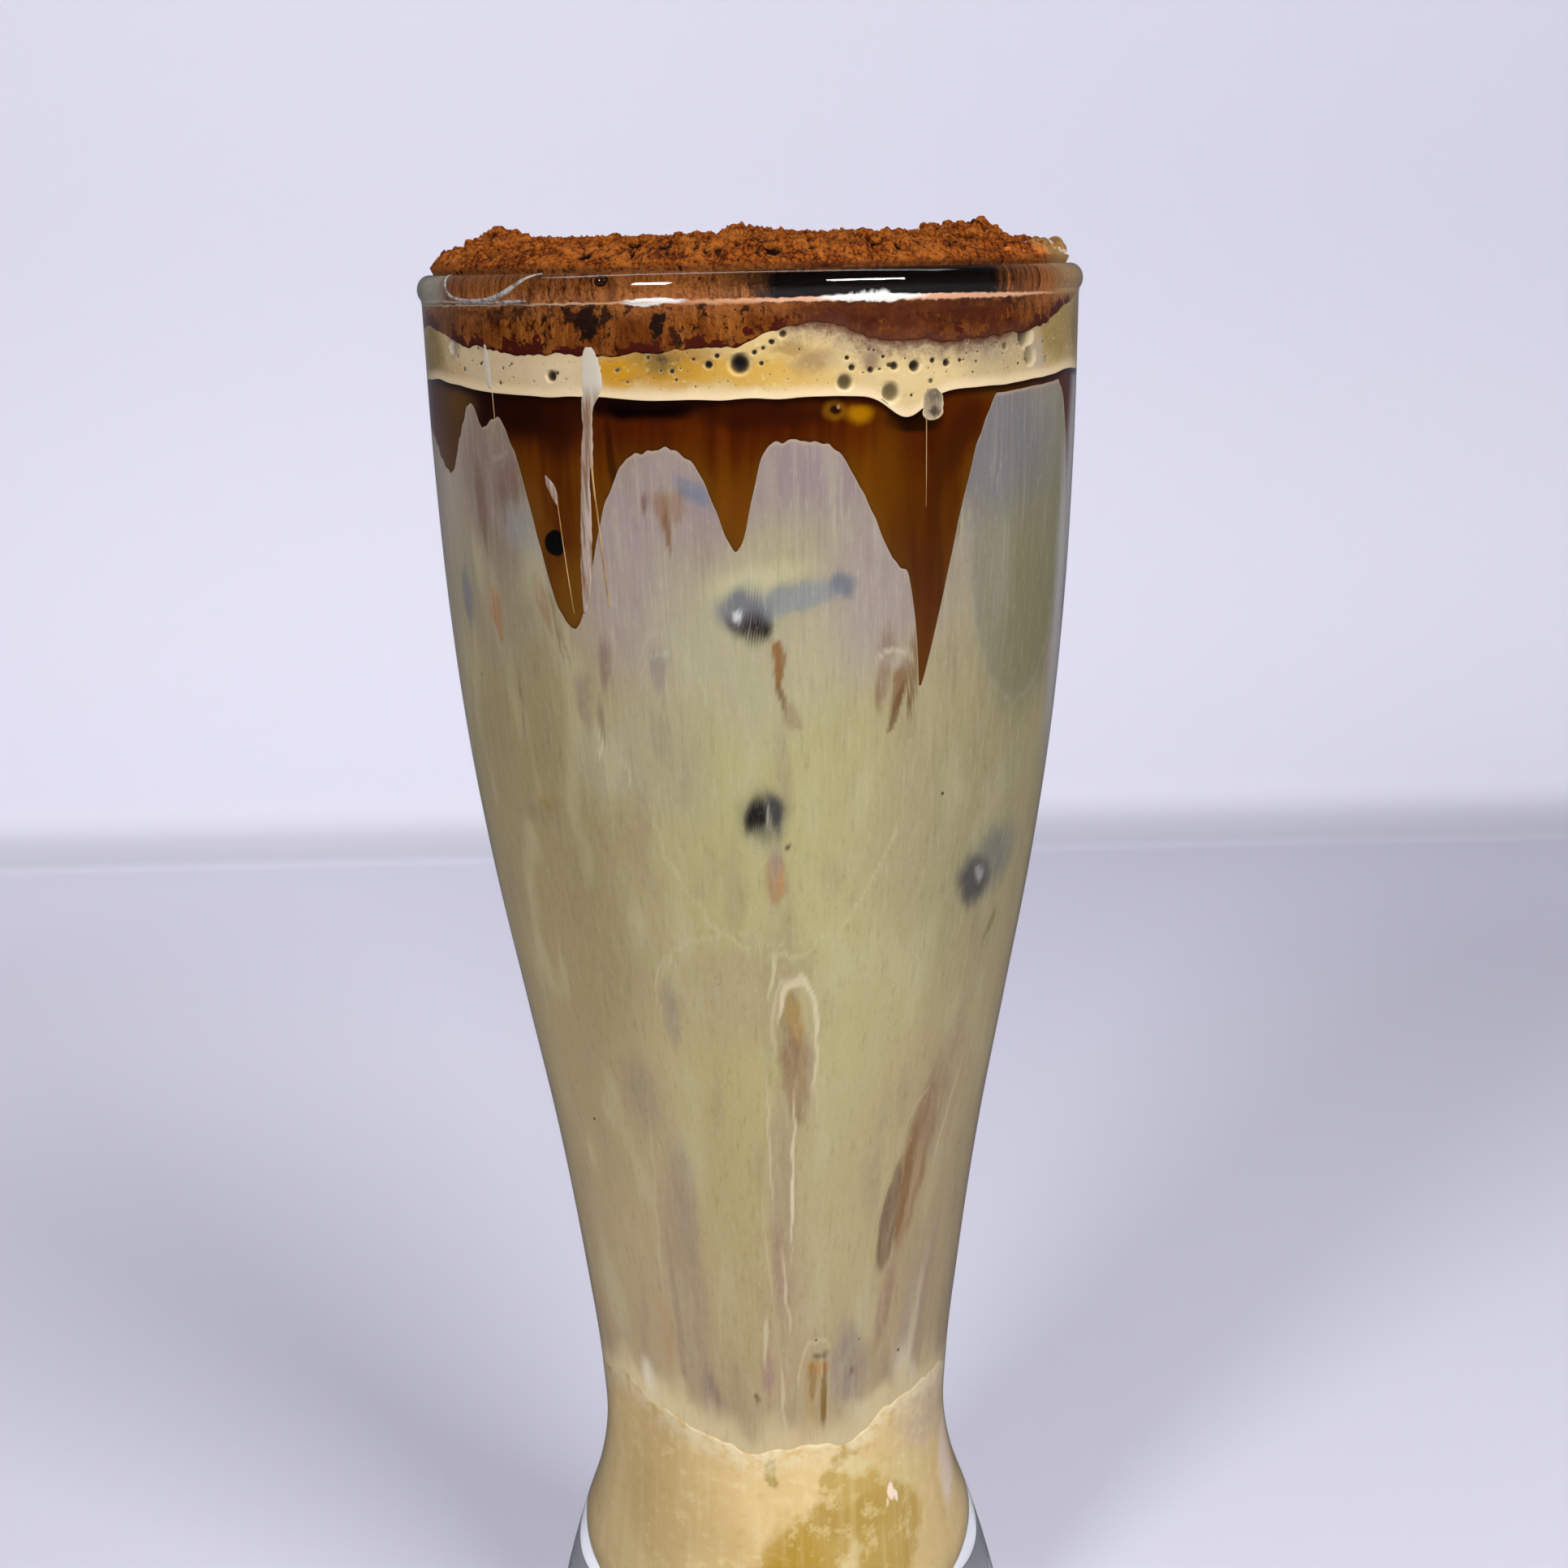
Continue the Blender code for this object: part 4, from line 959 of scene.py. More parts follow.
def foam_bubbles():
    """The large bubbles and many small ones scattered between them, denser to the right and behind."""
    draw = np.random.default_rng(SEED)
    bubbles = list(LARGE_BUBBLES)
    for _ in range(SMALL_BUBBLE_COUNT):
        angle = draw.uniform(-180, 180)
        low, high = foam_bottom(angle), cocoa_bottom(angle)
        height = low + (high - low) * draw.uniform(0.25, 0.95)
        radius = SMALLEST_BUBBLE + SMALL_BUBBLE_SPREAD * draw.random() ** 3
        if abs(angle) > FRONT_EDGE:
            radius *= BACK_BUBBLE_GROWTH
        bubbles.append((angle, height, radius, 0.8, draw.uniform(0.5, 1.0)))
    return bubbles


FOAM_PATCHES = [
    (-60.9, 184.2, 2.2, 1.3, 0, 0, 0.5, 0.8, (84, 60, 34)),
    (-51, 184.4, 1.6, 0.9, 0, 0, 0.5, 0.8, (80, 48, 32)),
    (-16, 182.0, 12, 1.7, 0, 0, 0.5, 0.9, (186, 132, 18)),
    (-14, 183.6, 9, 0.9, 0, 0, 0.6, 0.7, (156, 112, 42)),
    (-23, 181.6, 3, 1.8, 0, 0, 0.5, 0.7, (206, 144, 14)),
    (0, 181.4, 9, 1.4, 0, 0, 0.5, 0.8, (206, 158, 54)),
    (9, 180.6, 7, 1.3, 0, 0, 0.5, 0.6, (216, 176, 98)),
    (4, 183.6, 7, 1.4, 0, 0, 0.6, 0.5, (206, 166, 84)),
    (-50, 182.6, 14, 2.4, 0, 0, 0.6, 0.7, (214, 188, 158)),
    (-34, 181.4, 6, 2.0, 0, 0, 0.5, 0.7, (222, 198, 166)),
    (-62, 181.0, 5, 1.6, 0, 0, 0.6, 0.6, (196, 164, 110)),
    (-73, 183.4, 8, 4, 0, 0, 0.5, 0.85, (132, 104, 40)),
    (66, 185, 11, 4, 0, 0, 0.5, 0.85, (146, 120, 62)),
    (78, 186, 5, 5, 0, 0, 0.5, 0.75, (128, 104, 40)),
    (44, 183.4, 9, 3.0, 0, 0, 0.6, 0.85, (184, 162, 126)),
    (28, 180.6, 8, 1.6, 0, 0, 0.6, 0.5, (230, 200, 146)),
    (10, 182.6, 3.4, 1.1, 0, 0, 0.7, 0.7, (150, 118, 80)),
    (6, 184.0, 2.6, 0.6, 0, 0, 0.6, 0.6, (150, 118, 66)),
    (19, 182.9, 1.5, 1.4, 0, 0, 0.7, 0.7, (120, 92, 78)),
    (-15.4, 182.8, 2.6, 1.2, 0, 0, 0.7, 0.8, (120, 96, 52)),
    (-15.0, 183.2, 0.9, 0.5, 0, 0, 0.7, 0.8, (66, 54, 34)),
    (55, 183.2, 3.6, 2.6, -6, 0, 0.25, 0.6, (184, 158, 132)),
    (57, 182.2, 2.2, 1.6, 0, 0, 0.4, 0.6, (190, 172, 158)),
]


def foam_material():
    graph = Graph("foam")
    spot = graph.wall(1.6, 4.0)
    colour = graph.mix(graph.noise(6, 3, 4, 0.6), srgb(208, 178, 124), srgb(226, 200, 150))
    colour = graph.paint(colour, spot, FOAM_PATCHES)
    mottled = graph.noise(0.8, 0.8, 5, 0.7)
    colour = graph.tone(colour, mottled, 0.55, 0.72, (246, 226, 184), 0.35)
    colour = graph.tone(colour, mottled, 0.42, 0.3, (160, 122, 66), 0.3)
    dots = graph.specks(0.55, 0.24, 0.12, 0.8, 0.85)
    colour = graph.mix(graph.math("MULTIPLY", dots, 0.6), colour, srgb(120, 84, 40))
    colour = graph.tone(colour, graph.value("low_edge"), 1.5, 0.2, (246, 218, 180), 0.85)
    arc = graph.parts(spot)[0]
    mist_here = graph.math("MULTIPLY", graph.ramp(arc, 3 * ARC, 9 * ARC), graph.ramp(arc, 56 * ARC, 44 * ARC))
    for soft, size, strength, tint in FOAM_MIST:
        puffs = graph.noise(size, size, 5, 0.75)
        depth = graph.math("MULTIPLY_ADD", puffs, 2 * soft, graph.value("below_cocoa"))
        cover = graph.math("MULTIPLY", graph.ramp(depth, 1.7 * soft, 0.7 * soft, 0, strength), mist_here)
        colour = graph.mix(cover, colour, srgb(*tint))
    # Painted shade inside the bubbles' hollows, darkest in their middles, and a painted pale rim round each
    # one
    hole = graph.value("hole")
    dark = graph.value("hollow_shade")
    colour = graph.tone(colour, hole, -0.3, 0.0, (246, 226, 184), 0.2)
    inner = graph.mix(dark, srgb(160, 136, 92), srgb(104, 78, 44))
    colour = graph.mix(graph.ramp(hole, -0.06, 0.34), colour, inner)
    deep = graph.math("MULTIPLY", graph.ramp(hole, 0.12, 0.62), graph.math("POWER", dark, 0.7))
    colour = graph.mix(deep, colour, srgb(18, 10, 5))
    return graph.finish(colour, 0.5, 0.03, shade=SHADE["foam"])


def build_foam():
    """Foam with its bubbles hollowed out at the wall."""
    low, high = foam_bottom(COLUMNS), cocoa_bottom(COLUMNS)
    reach = REACH["foam"]
    shares = [0, 10 * CREASE, *np.linspace(0, 1, FOAM_ROWS)[1:]]
    heights = np.array([low + (high + RUN_ON - low) * t for t in shares])
    hole = np.full(heights.shape, -1.0)
    inward = np.zeros(heights.shape)
    hollow_shade = np.zeros(heights.shape)
    for angle, height, radius, depth, dark in foam_bubbles():
        across = np.radians(angle_between(COLUMNS, angle)) * cavity_radius(height)
        away = np.hypot(across, heights - height) / radius
        hole = np.where(away < BUBBLE_FADE, np.maximum(hole, 1 - away), hole)
        hollow_shade = np.where(away < BUBBLE_DARK, np.maximum(hollow_shade, dark), hollow_shade)
        inward = np.maximum(inward, depth * radius * np.sqrt(np.clip(1 - away**2, 0, 1)))
    caps = cap_rings(low, MIDDLE_LEVELS["foam"], (0.5, 0.9), reach)
    top = cap_rings(high, MIDDLE_LEVELS["cocoa"], (0.94, 0.8, 0.6), reach)
    sides = [on_wall(COLUMNS, height, reach - deep) for height, deep in zip(heights, inward)]
    made = lofted("golden_foam", caps + sides + top, foam_material(), "crema_foam")
    none = 0 * low
    attribute(made, "hole", padded(caps, none - 1, hole, none - 1, top))
    attribute(made, "hollow_shade", padded(caps, none, hollow_shade, none, top))
    attribute(made, "low_edge", padded(caps, none, heights - low, high - low, top))
    attribute(made, "below_cocoa", padded(caps, high - low, high - heights, none, top))


def heap_top(x, y):
    """Smooth upper face of the cocoa, with its peaks."""
    share = np.hypot(x, y) / HEAP_EDGE
    angle = np.degrees(np.arctan2(x, -y))
    rise = HEAP_RISE + sum(
        up * np.exp(-((x - px) ** 2 + (y - py) ** 2) / radius**2) for px, py, up, radius in HEAP_PEAKS
    )
    power = STEEP_EDGE_POWER + (GENTLE_EDGE_POWER - STEEP_EDGE_POWER) * bump(angle, DIP_ANGLE, DIP_WIDTH)
    return GLASS_HEIGHT + HEAP_EDGE_RISE + (rise - HEAP_EDGE_RISE) * (1 - np.clip(share, 0, 1) ** power)


CLUMP_COUNT = 5000
CLUMP_SMALLEST = 0.32
CLUMP_LARGEST = 1.2
CLUMPS_SUNK = 0.7
CLUMP_BASE_SUNK = 0.35
LUMP_SIZE = 1.5
LUMP_RISE = 1.1
SMALL_LUMP_SIZE = 0.72
SMALL_LUMP_RISE = 0.6
CRACKS = 60
# Longer cracks across the heap: (x, y, length, width, depth, way round in degrees)
LONG_CRACKS = [
    (-11.5, -30, 4.0, 0.3, 1.6, 84),
    (-12.5, -22, 3.0, 0.25, 1.4, 70),
    (0.6, -22, 5.0, 0.35, 1.8, 92),
    (3.2, -26, 4.5, 0.3, 1.6, 84),
    (3.0, -14, 3.5, 0.25, 1.2, 100),
    (-20, -18, 3.0, 0.25, 1.2, 60),
    (18, -8, 3.4, 0.25, 1.2, 50),
    (10, 14, 5.0, 0.3, 1.4, 30),
    (-14, 16, 5.0, 0.3, 1.4, 120),
]


def crack(x, y, cx, cy, length, width, depth, way):
    along = (x - cx) * np.cos(way) + (y - cy) * np.sin(way)
    across = (y - cy) * np.cos(way) - (x - cx) * np.sin(way)
    across = across + 0.35 * np.sin(along * 2.1 + cx) + 0.15 * np.sin(along * 6.3 + cy)
    return depth * np.exp(-((along / length) ** 4) - (across / width) ** 2)


def grit(x, y, size, seed):
    """Rounded lumps of a size with sharp furrows between them, 0 in a furrow to about 0.6."""
    return np.array([abs(noise.noise(Vector((a / size, b / size, seed)))) for a, b in zip(x, y)])


def crumbled(x, y, height):
    """Heights of the heap's face, roughened by clumps and cracks, and how deep each point is in a furrow."""
    draw = np.random.default_rng(SEED + 1)
    bend = 0.5 * grit(x, y, 2.2, 3.1)
    lumps = grit(x + bend, y - bend, LUMP_SIZE, 5.7)
    small = grit(x - bend, y + bend, SMALL_LUMP_SIZE, 9.3)
    rough = height - CLUMPS_SUNK + LUMP_RISE * lumps + SMALL_LUMP_RISE * small
    for _ in range(CLUMP_COUNT):
        away = HEAP_EDGE * np.sqrt(draw.random())
        turn = draw.uniform(0, 2 * np.pi)
        radius = CLUMP_SMALLEST + (CLUMP_LARGEST - CLUMP_SMALLEST) * draw.random() ** 3
        sunk = draw.uniform(0.3, 1.0)
        squash = draw.uniform(0.8, 1.5)
        cx, cy = away * np.sin(turn), -away * np.cos(turn)
        near = np.flatnonzero((np.abs(x - cx) < radius) & (np.abs(y - cy) < radius))
        if not len(near):
            continue
        base = heap_top(cx, cy) - CLUMP_BASE_SUNK - sunk * radius * squash
        inside = np.clip(radius**2 - (x[near] - cx) ** 2 - (y[near] - cy) ** 2, 0, None)
        dome = np.where(inside > 0, base + np.sqrt(inside) * squash, -1)
        rough[near] = np.maximum(rough[near], dome)
    for _ in range(CRACKS):
        away = HEAP_EDGE * np.sqrt(draw.random()) * 0.97
        turn = draw.uniform(0, 2 * np.pi)
        length, width, depth = draw.uniform(1.0, 3.0), draw.uniform(0.12, 0.3), draw.uniform(0.6, 1.3)
        way = draw.uniform(0, np.pi)
        rough -= crack(x, y, away * np.sin(turn), -away * np.cos(turn), length, width, depth, way)
    for cx, cy, length, width, depth, way in LONG_CRACKS:
        rough -= crack(x, y, cx, cy, length, width, depth, np.radians(way))
    rough += 0.35 * (small - 0.2) + 0.3 * (lumps - 0.25)
    furrow = smooth_step(np.minimum(lumps, 1.4 * small), 0.07, 0.0)
    return rough, furrow


# Highlights and reflections of the glass's lip, painted on the cocoa just under it
LIP_HIGHLIGHTS = [
    (28, 189.1, 34, 0.42, 0, 0, 0.3, 0.95, (240, 180, 146)),
    (20, 189.25, 9, 0.62, 0, 0, 0.25, 1.0, (255, 250, 246)),
    (-15.5, 189.25, 5.0, 0.45, 0, 0, 0.25, 0.95, (252, 246, 246)),
    (-17.5, 188.9, 3.2, 0.3, 0, 0, 0.3, 0.95, (240, 232, 232)),
    (-28, 189.0, 11, 0.18, 0, 0, 0.5, 0.85, (214, 168, 132)),
    (-5, 189.0, 7, 0.34, 0, 0, 0.5, 0.7, (216, 156, 116)),
    (-62, 188.9, 30, 0.14, 0, 0, 0.6, 0.8, (186, 176, 158)),
    (-60, 191.3, 34, 0.12, 0, 0, 0.6, 0.7, (196, 190, 176)),
    (-82, 190.2, 15, 1.6, 0, 0, 0.6, 0.85, (158, 152, 134)),
    (-70, 190.3, 6, 0.7, 0, 0, 0.6, 0.6, (190, 186, 172)),
]

# Marks on the cocoa pressed against the glass
COCOA_PATCHES = [
    (-27.5, 187.0, 2.6, 1.6, 10, 0, 0.2, 0.95, (22, 8, 5)),
    (-31, 187.8, 1.2, 1.0, 0, 0, 0.3, 0.9, (26, 9, 5)),
    (-24, 187.8, 0.9, 1.2, -10, 0, 0.3, 0.9, (26, 9, 5)),
    (-19.5, 188.4, 0.9, 0.5, 20, 0, 0.3, 0.85, (30, 11, 6)),
    (-15.2, 186.4, 0.9, 2.0, -16, 0, 0.22, 0.95, (22, 8, 5)),
    (-12.4, 185.2, 0.9, 0.8, 0, 0, 0.3, 0.85, (28, 10, 6)),
    (-7.6, 188.0, 0.5, 1.0, 0, 0, 0.3, 0.9, (26, 9, 5)),
    (-1.4, 187.8, 0.45, 0.9, 0, 0, 0.3, 0.9, (28, 10, 6)),
    (-46, 187.6, 3.4, 0.8, 10, 0, 0.5, 0.75, (58, 26, 10)),
    (-41, 188.0, 1.8, 0.6, 0, 0, 0.5, 0.75, (44, 18, 8)),
    (-34.5, 188.4, 1.6, 0.4, 20, 0, 0.4, 0.75, (44, 18, 8)),
    (-64, 187.4, 4.0, 2.0, 0, 0, 0.6, 0.6, (104, 70, 34)),
    (26, 187.6, 20, 1.5, 0, 0, 0.6, 0.7, (84, 34, 16)),
    (18, 186.6, 6, 1.0, 0, 0, 0.6, 0.6, (58, 22, 14)),
    (38, 187.2, 6, 0.9, 0, 0, 0.6, 0.7, (54, 22, 12)),
    (48, 188.2, 5, 0.6, 0, 0, 0.6, 0.8, (40, 16, 10)),
]


def loose_cocoa(graph, patch, grain):
    """Colour of the crumbly heap."""
    fine = graph.noise(0.2, 0.2, 3, 0.7)
    colour = graph.mix(graph.ramp(patch, 0.38, 0.62), srgb(166, 78, 14), srgb(198, 110, 38))
    colour = graph.tone(colour, grain, 0.52, 0.68, (212, 130, 58), 0.75)
    colour = graph.tone(colour, grain, 0.49, 0.36, (82, 32, 10), 0.85)
    colour = graph.tone(colour, fine, 0.44, 0.3, (70, 26, 9), 0.6)
    colour = graph.tone(colour, fine, 0.58, 0.7, (216, 142, 78), 0.4)
    # Painted shade in the gaps between crumbs, from a cell pattern
    bent = graph.vector("ADD", graph.stretched(0.85, 0.85), graph.noise(0.9, 0.9, 3, 0.6, "Color"))
    crumb = graph.node("ShaderNodeTexVoronoi", {"Vector": bent, "Scale": 1.0}, feature="DISTANCE_TO_EDGE")
    edge = graph.ramp(crumb.outputs["Distance"], 0.16, 0.03)
    gap_shade = graph.math("MULTIPLY", edge, graph.ramp(patch, 0.62, 0.4, 0.05, 0.8))
    colour = graph.mix(gap_shade, colour, srgb(50, 18, 6))
    # Painted shade in the heap's pits and furrows
    return graph.tone(colour, graph.value("pit_shade"), 0.25, 0.65, (26, 8, 4))


def pressed_cocoa(graph, patch, grain):
    """Colour of the cocoa pressed against the glass."""
    pressed = graph.mix(graph.ramp(patch, 0.4, 0.62), srgb(116, 56, 8), srgb(150, 84, 30))
    pillars = graph.noise(0.9, 5, 4, 0.7)
    pressed = graph.tone(pressed, pillars, 0.5, 0.66, (174, 104, 42), 0.75)
    pressed = graph.tone(pressed, pillars, 0.46, 0.34, (90, 38, 8), 0.6)
    pressed = graph.tone(pressed, graph.noise(0.4, 0.8, 5, 0.8), 0.48, 0.38, (60, 24, 6), 0.85)
    arc, height = graph.parts(graph.wall())[:2]
    upper = graph.math("MULTIPLY", graph.ramp(height, 186.4, 188.6), graph.ramp(grain, 0.42, 0.56, 0, 0.6))
    pressed = graph.mix(upper, pressed, srgb(178, 110, 60))
    # Painted shade: near-black cracks in the pressed cocoa
    crack_shade = graph.noise(1.2, 2.0, 6, 0.8)
    pressed = graph.tone(pressed, crack_shade, 0.425, 0.395, (20, 6, 3))
    pressed = graph.paint(pressed, graph.wall(3.4, 1.3), COCOA_PATCHES)
    scalloped = graph.math("MULTIPLY_ADD", graph.noise(2.6, 2.6, 4, 0.6), -9.0, graph.value("above_foam"))
    pressed = graph.tone(pressed, scalloped, -3.75, -3.95, (74, 20, 8))
    dusty = graph.math("MULTIPLY_ADD", graph.noise(1.2, 1.2, 5, 0.8), -2.4, graph.value("above_foam"))
    right = graph.math("MULTIPLY", graph.ramp(arc, 2 * ARC, 12 * ARC), graph.ramp(arc, 60 * ARC, 48 * ARC))
    redder = graph.ramp(graph.noise(2.2, 1.4, 5, 0.7), 0.36, 0.62, 0.1, 0.75)
    pressed = graph.mix(graph.math("MULTIPLY", right, redder), pressed, srgb(84, 36, 18))
    dust = graph.math("MULTIPLY", graph.ramp(dusty, 0.4, -1.1, 0, 0.5), right)
    pressed = graph.mix(dust, pressed, srgb(108, 66, 48))
    # Painted shade on a wet band: near-black in streaks under the lip, and glossier there
    streaky = graph.ramp(graph.noise(0.8, 6, 4, 0.7), 0.42, 0.5)
    inner_part = graph.ramp(graph.value("wet_and_shade"), 0.75, 0.95)
    wet_and_shade = graph.math("MAXIMUM", graph.math("MULTIPLY", graph.value("wet_and_shade"), streaky), inner_part)
    pressed = graph.mix(wet_and_shade, pressed, srgb(10, 3, 2))
    # Painted highlights of the lip go on last
    return graph.paint(pressed, graph.wall(0.5, 1.2), LIP_HIGHLIGHTS)


def cocoa_material():
    graph = Graph("cocoa powder")
    patch = graph.noise(4, 4, 4, 0.65)
    grain = graph.noise(0.5, 0.5, 5, 0.8)
    loose = loose_cocoa(graph, patch, grain)
    colour = graph.mix(graph.value("pressed"), loose, pressed_cocoa(graph, patch, grain))
    colour = graph.mix(graph.value("foamy"), colour, srgb(172, 136, 88))
    roughness = graph.math("MULTIPLY_ADD", graph.value("wet_and_shade"), -0.7, 0.95)
    return graph.finish(colour, roughness, 0.06, graph.noise(0.25, 0.25, 3, 0.7), 0.2, SHADE["cocoa"])


# Where the cocoa's rim is wet and darkened with painted shade, and where it is foamy, in degrees round the
# glass, and the heights of that wet, shaded ring
WET_AND_SHADE_RING = (-3, 50)
FOAMY_RING = (64, 108)
WET_AND_SHADE_LOW = 188.7
WET_AND_SHADE_HIGH = 191.2
# Rings between the wall and the heap's edge
NECK_SHARES = (0.25, 0.45, 0.6, 0.8)


def between_angles(angles, limits, soft):
    low, high = limits
    turn = angle_between(angles, (low + high) / 2)
    return smooth_step(np.abs(turn), (high - low) / 2 + soft, (high - low) / 2 - soft)


def build_cocoa():
    """Cocoa pressed against the glass below the lip, and the crumbly heap above it."""
    low = cocoa_bottom(COLUMNS)
    reach = REACH["cocoa"]
    caps = cap_rings(low, MIDDLE_LEVELS["cocoa"], (0.5, 0.7, 0.85, 0.95), reach)
    heights = [low + (LIP_CENTRE - low) * t for t in np.linspace(0, 1, COCOA_ROWS)]
    sides = [on_wall(COLUMNS, height, reach) for height in heights]
    turn = np.radians(COLUMNS)
    shares = 1 - np.linspace(0, 1, HEAP_RINGS)[:-1] ** 0.9
    x = np.outer(shares, np.sin(turn)) * HEAP_EDGE
    y = np.outer(shares, -np.cos(turn)) * HEAP_EDGE
    base = heap_top(x, y)
    rough, furrow = [part.reshape(x.shape) for part in crumbled(x.ravel(), y.ravel(), base.ravel())]
    fade = smooth_step(shares, 1.0, 0.965)[:, None]
    height = np.minimum(base + (rough - base) * fade, HEAP_CEILING)
    # Painted shade where the face sinks below the smooth heap, and in the furrows
    pit_shade = np.maximum(np.clip(base - height, 0, 1.2) * fade, 0.6 * furrow)
    heap = list(np.stack([x, y, height], -1) * MM)
    necks = [sides[-1] + (heap[0] - sides[-1]) * t for t in NECK_SHARES]
    sides += necks
    heights += [ring[:, 2] / MM for ring in necks]
    made = lofted("cocoa", caps + sides + heap, cocoa_material(), "cocoa_powder")
    none = 0 * low
    wet_and_shade = between_angles(COLUMNS, WET_AND_SHADE_RING, 9)
    foamy = between_angles(COLUMNS, FOAMY_RING, 6)
    side_wet_and_shade = []
    for height in heights:
        under_lip = smooth_step(height, WET_AND_SHADE_HIGH + 0.2, WET_AND_SHADE_HIGH - 0.2)
        side_wet_and_shade.append(wet_and_shade * smooth_step(height, WET_AND_SHADE_LOW - 0.3, WET_AND_SHADE_LOW + 0.3) * under_lip)
    side_foamy = [foamy * smooth_step(height, WET_AND_SHADE_LOW - 0.6, WET_AND_SHADE_LOW + 0.6) for height in heights]
    heap_foamy = [foamy * smooth_step(share, 0.86, 0.95) for share in shares]
    attribute(made, "pit_shade", [none] * (len(caps) + len(sides)) + list(pit_shade))
    attribute(made, "pressed", [none + 1] * (len(caps) + len(sides)) + [none] * len(heap))
    attribute(made, "wet_and_shade", padded(caps, none, side_wet_and_shade, none, heap))
    attribute(made, "foamy", [none] * len(caps) + side_foamy + heap_foamy)
    attribute(made, "above_foam", padded(caps, none, [height - low for height in heights], none + 9, heap))


def joined(name, shapes, material):
    """One piece from many small closed shapes, each (points, faces)."""
    points, faces = [], []
    for shape_points, shape_faces in shapes:
        first = len(points)
        points.extend(shape_points)
        faces.extend([[first + corner for corner in face] for face in shape_faces])
    return new_object(name, points, faces, material)


def ball(centre, radii, rows, columns, rough=0.0, draw=None):
    """Closed ball with poles up and down, (points, faces), made uneven by rough."""
    points = [(0, 0, 1)]
    for row in range(1, rows):
        tilt = np.pi * row / rows
        for column in range(columns):
            turn = 2 * np.pi * column / columns
            points.append((np.sin(tilt) * np.cos(turn), np.sin(tilt) * np.sin(turn), np.cos(tilt)))
    points.append((0, 0, -1))
    points = np.array(points)
    if rough:
        points *= 1 + rough * draw.uniform(-1, 1, (len(points), 1))
    faces = [[0, 1 + c, 1 + (c + 1) % columns] for c in range(columns)]
    for row in range(rows - 2):
        a = 1 + row * columns
        b = a + columns
        faces += [[a + c, b + c, b + (c + 1) % columns, a + (c + 1) % columns] for c in range(columns)]
    a = 1 + (rows - 2) * columns
    last = len(points) - 1
    faces += [[a + c, last, a + (c + 1) % columns] for c in range(columns)]
    return (points * radii + centre) * MM, faces


CRUMB_COUNT = 1500
SMALLEST_CRUMB = 0.16
CRUMB_SPREAD = 0.4
CRUMBS_IN_FROM_EDGE = 1.6
CRUMB_SUNK = 0.1


def build_crumbs():
    """Loose crumbs of cocoa lying on the heap."""
    draw = np.random.default_rng(SEED + 2)
    graph = Graph("cocoa crumbs")
    grain = graph.noise(0.5, 0.5, 4, 0.7)
    colour = graph.mix(graph.ramp(grain, 0.35, 0.65), srgb(104, 44, 8), srgb(186, 102, 30))
    material = graph.finish(colour, 0.95, 0.06, graph.noise(0.2, 0.2, 2), 0.06, SHADE["cocoa"])
    shapes = []
    for _ in range(CRUMB_COUNT):
        away = (HEAP_EDGE - CRUMBS_IN_FROM_EDGE) * np.sqrt(draw.random())
        turn = draw.uniform(0, 2 * np.pi)
        radius = SMALLEST_CRUMB + CRUMB_SPREAD * draw.random() ** 2.5
        x, y = away * np.sin(turn), -away * np.cos(turn)
        z = min(heap_top(x, y) - CRUMB_SUNK + 0.3 * radius, HEAP_CEILING - 1.3 * radius)
        radii = radius * draw.uniform(0.75, 1.15, 3)
        shapes.append(ball((x, y, z), radii, 4, 6, 0.22, draw))
    joined("cocoa_crumbs", shapes, material)


# Clear bubbles of the foam that came up beside the cocoa: (angle, distance from the axis, rise, radius)
RIM_BUBBLES = [
    (50, 36.2, 0.0, 0.45),
    (54, 36.4, 0.1, 0.6),
    (57, 36.2, 0.3, 0.5),
    (60, 36.5, 0.1, 0.75),
    (64, 36.3, 0.4, 0.85),
    (66, 35.0, 0.5, 0.6),
    (69, 36.4, 0.2, 0.7),
    (73, 36.2, 0.6, 1.0),
    (78, 36.4, 0.3, 0.8),
    (83, 36.2, 0.4, 0.9),
    (88, 36.4, 0.2, 0.7),
    (93, 36.2, 0.4, 0.85),
    (98, 36.4, 0.2, 0.6),
    (104, 36.2, 0.2, 0.7),
    (62, 34.4, 0.5, 0.5),
    (76, 34.6, 0.5, 0.7),
    (85, 34.4, 0.5, 0.6),
    (92, 34.6, 0.4, 0.7),
    (71, 33.4, 0.4, 0.45),
]


def build_rim_bubbles():
    shapes = []
    for angle, away, rise, radius in RIM_BUBBLES:
        turn = np.radians(angle)
        x, y = away * np.sin(turn), -away * np.cos(turn)
        centre = (x, y, heap_top(x, y) + rise * radius)
        shapes.append(ball(centre, (radius, radius, radius), 12, 20))
    material = clear_material("bubble film", BUBBLE_TINT, BUBBLE_IOR)
    joined("rim_bubbles", shapes, material)


DROP_ANGLE = -23.4
DROP_OUT = LIP_RADIUS + 0.85
DROP_HEIGHT = LIP_CENTRE + 0.75
DROP_RADII = (0.78, 0.62, 0.6)


def build_coffee_drop():
    """A drop of coffee on the lip."""
    turn = np.radians(DROP_ANGLE)
    centre = (DROP_OUT * np.sin(turn), -DROP_OUT * np.cos(turn), DROP_HEIGHT)
    graph = Graph("coffee drop")
    colour = graph.mix(graph.noise(0.5, 0.5), srgb(14, 5, 3), srgb(40, 14, 5))
    material = graph.finish(colour, 0.08, 0.5)
    joined("coffee_drop", [ball(centre, DROP_RADII, 12, 20)], material)


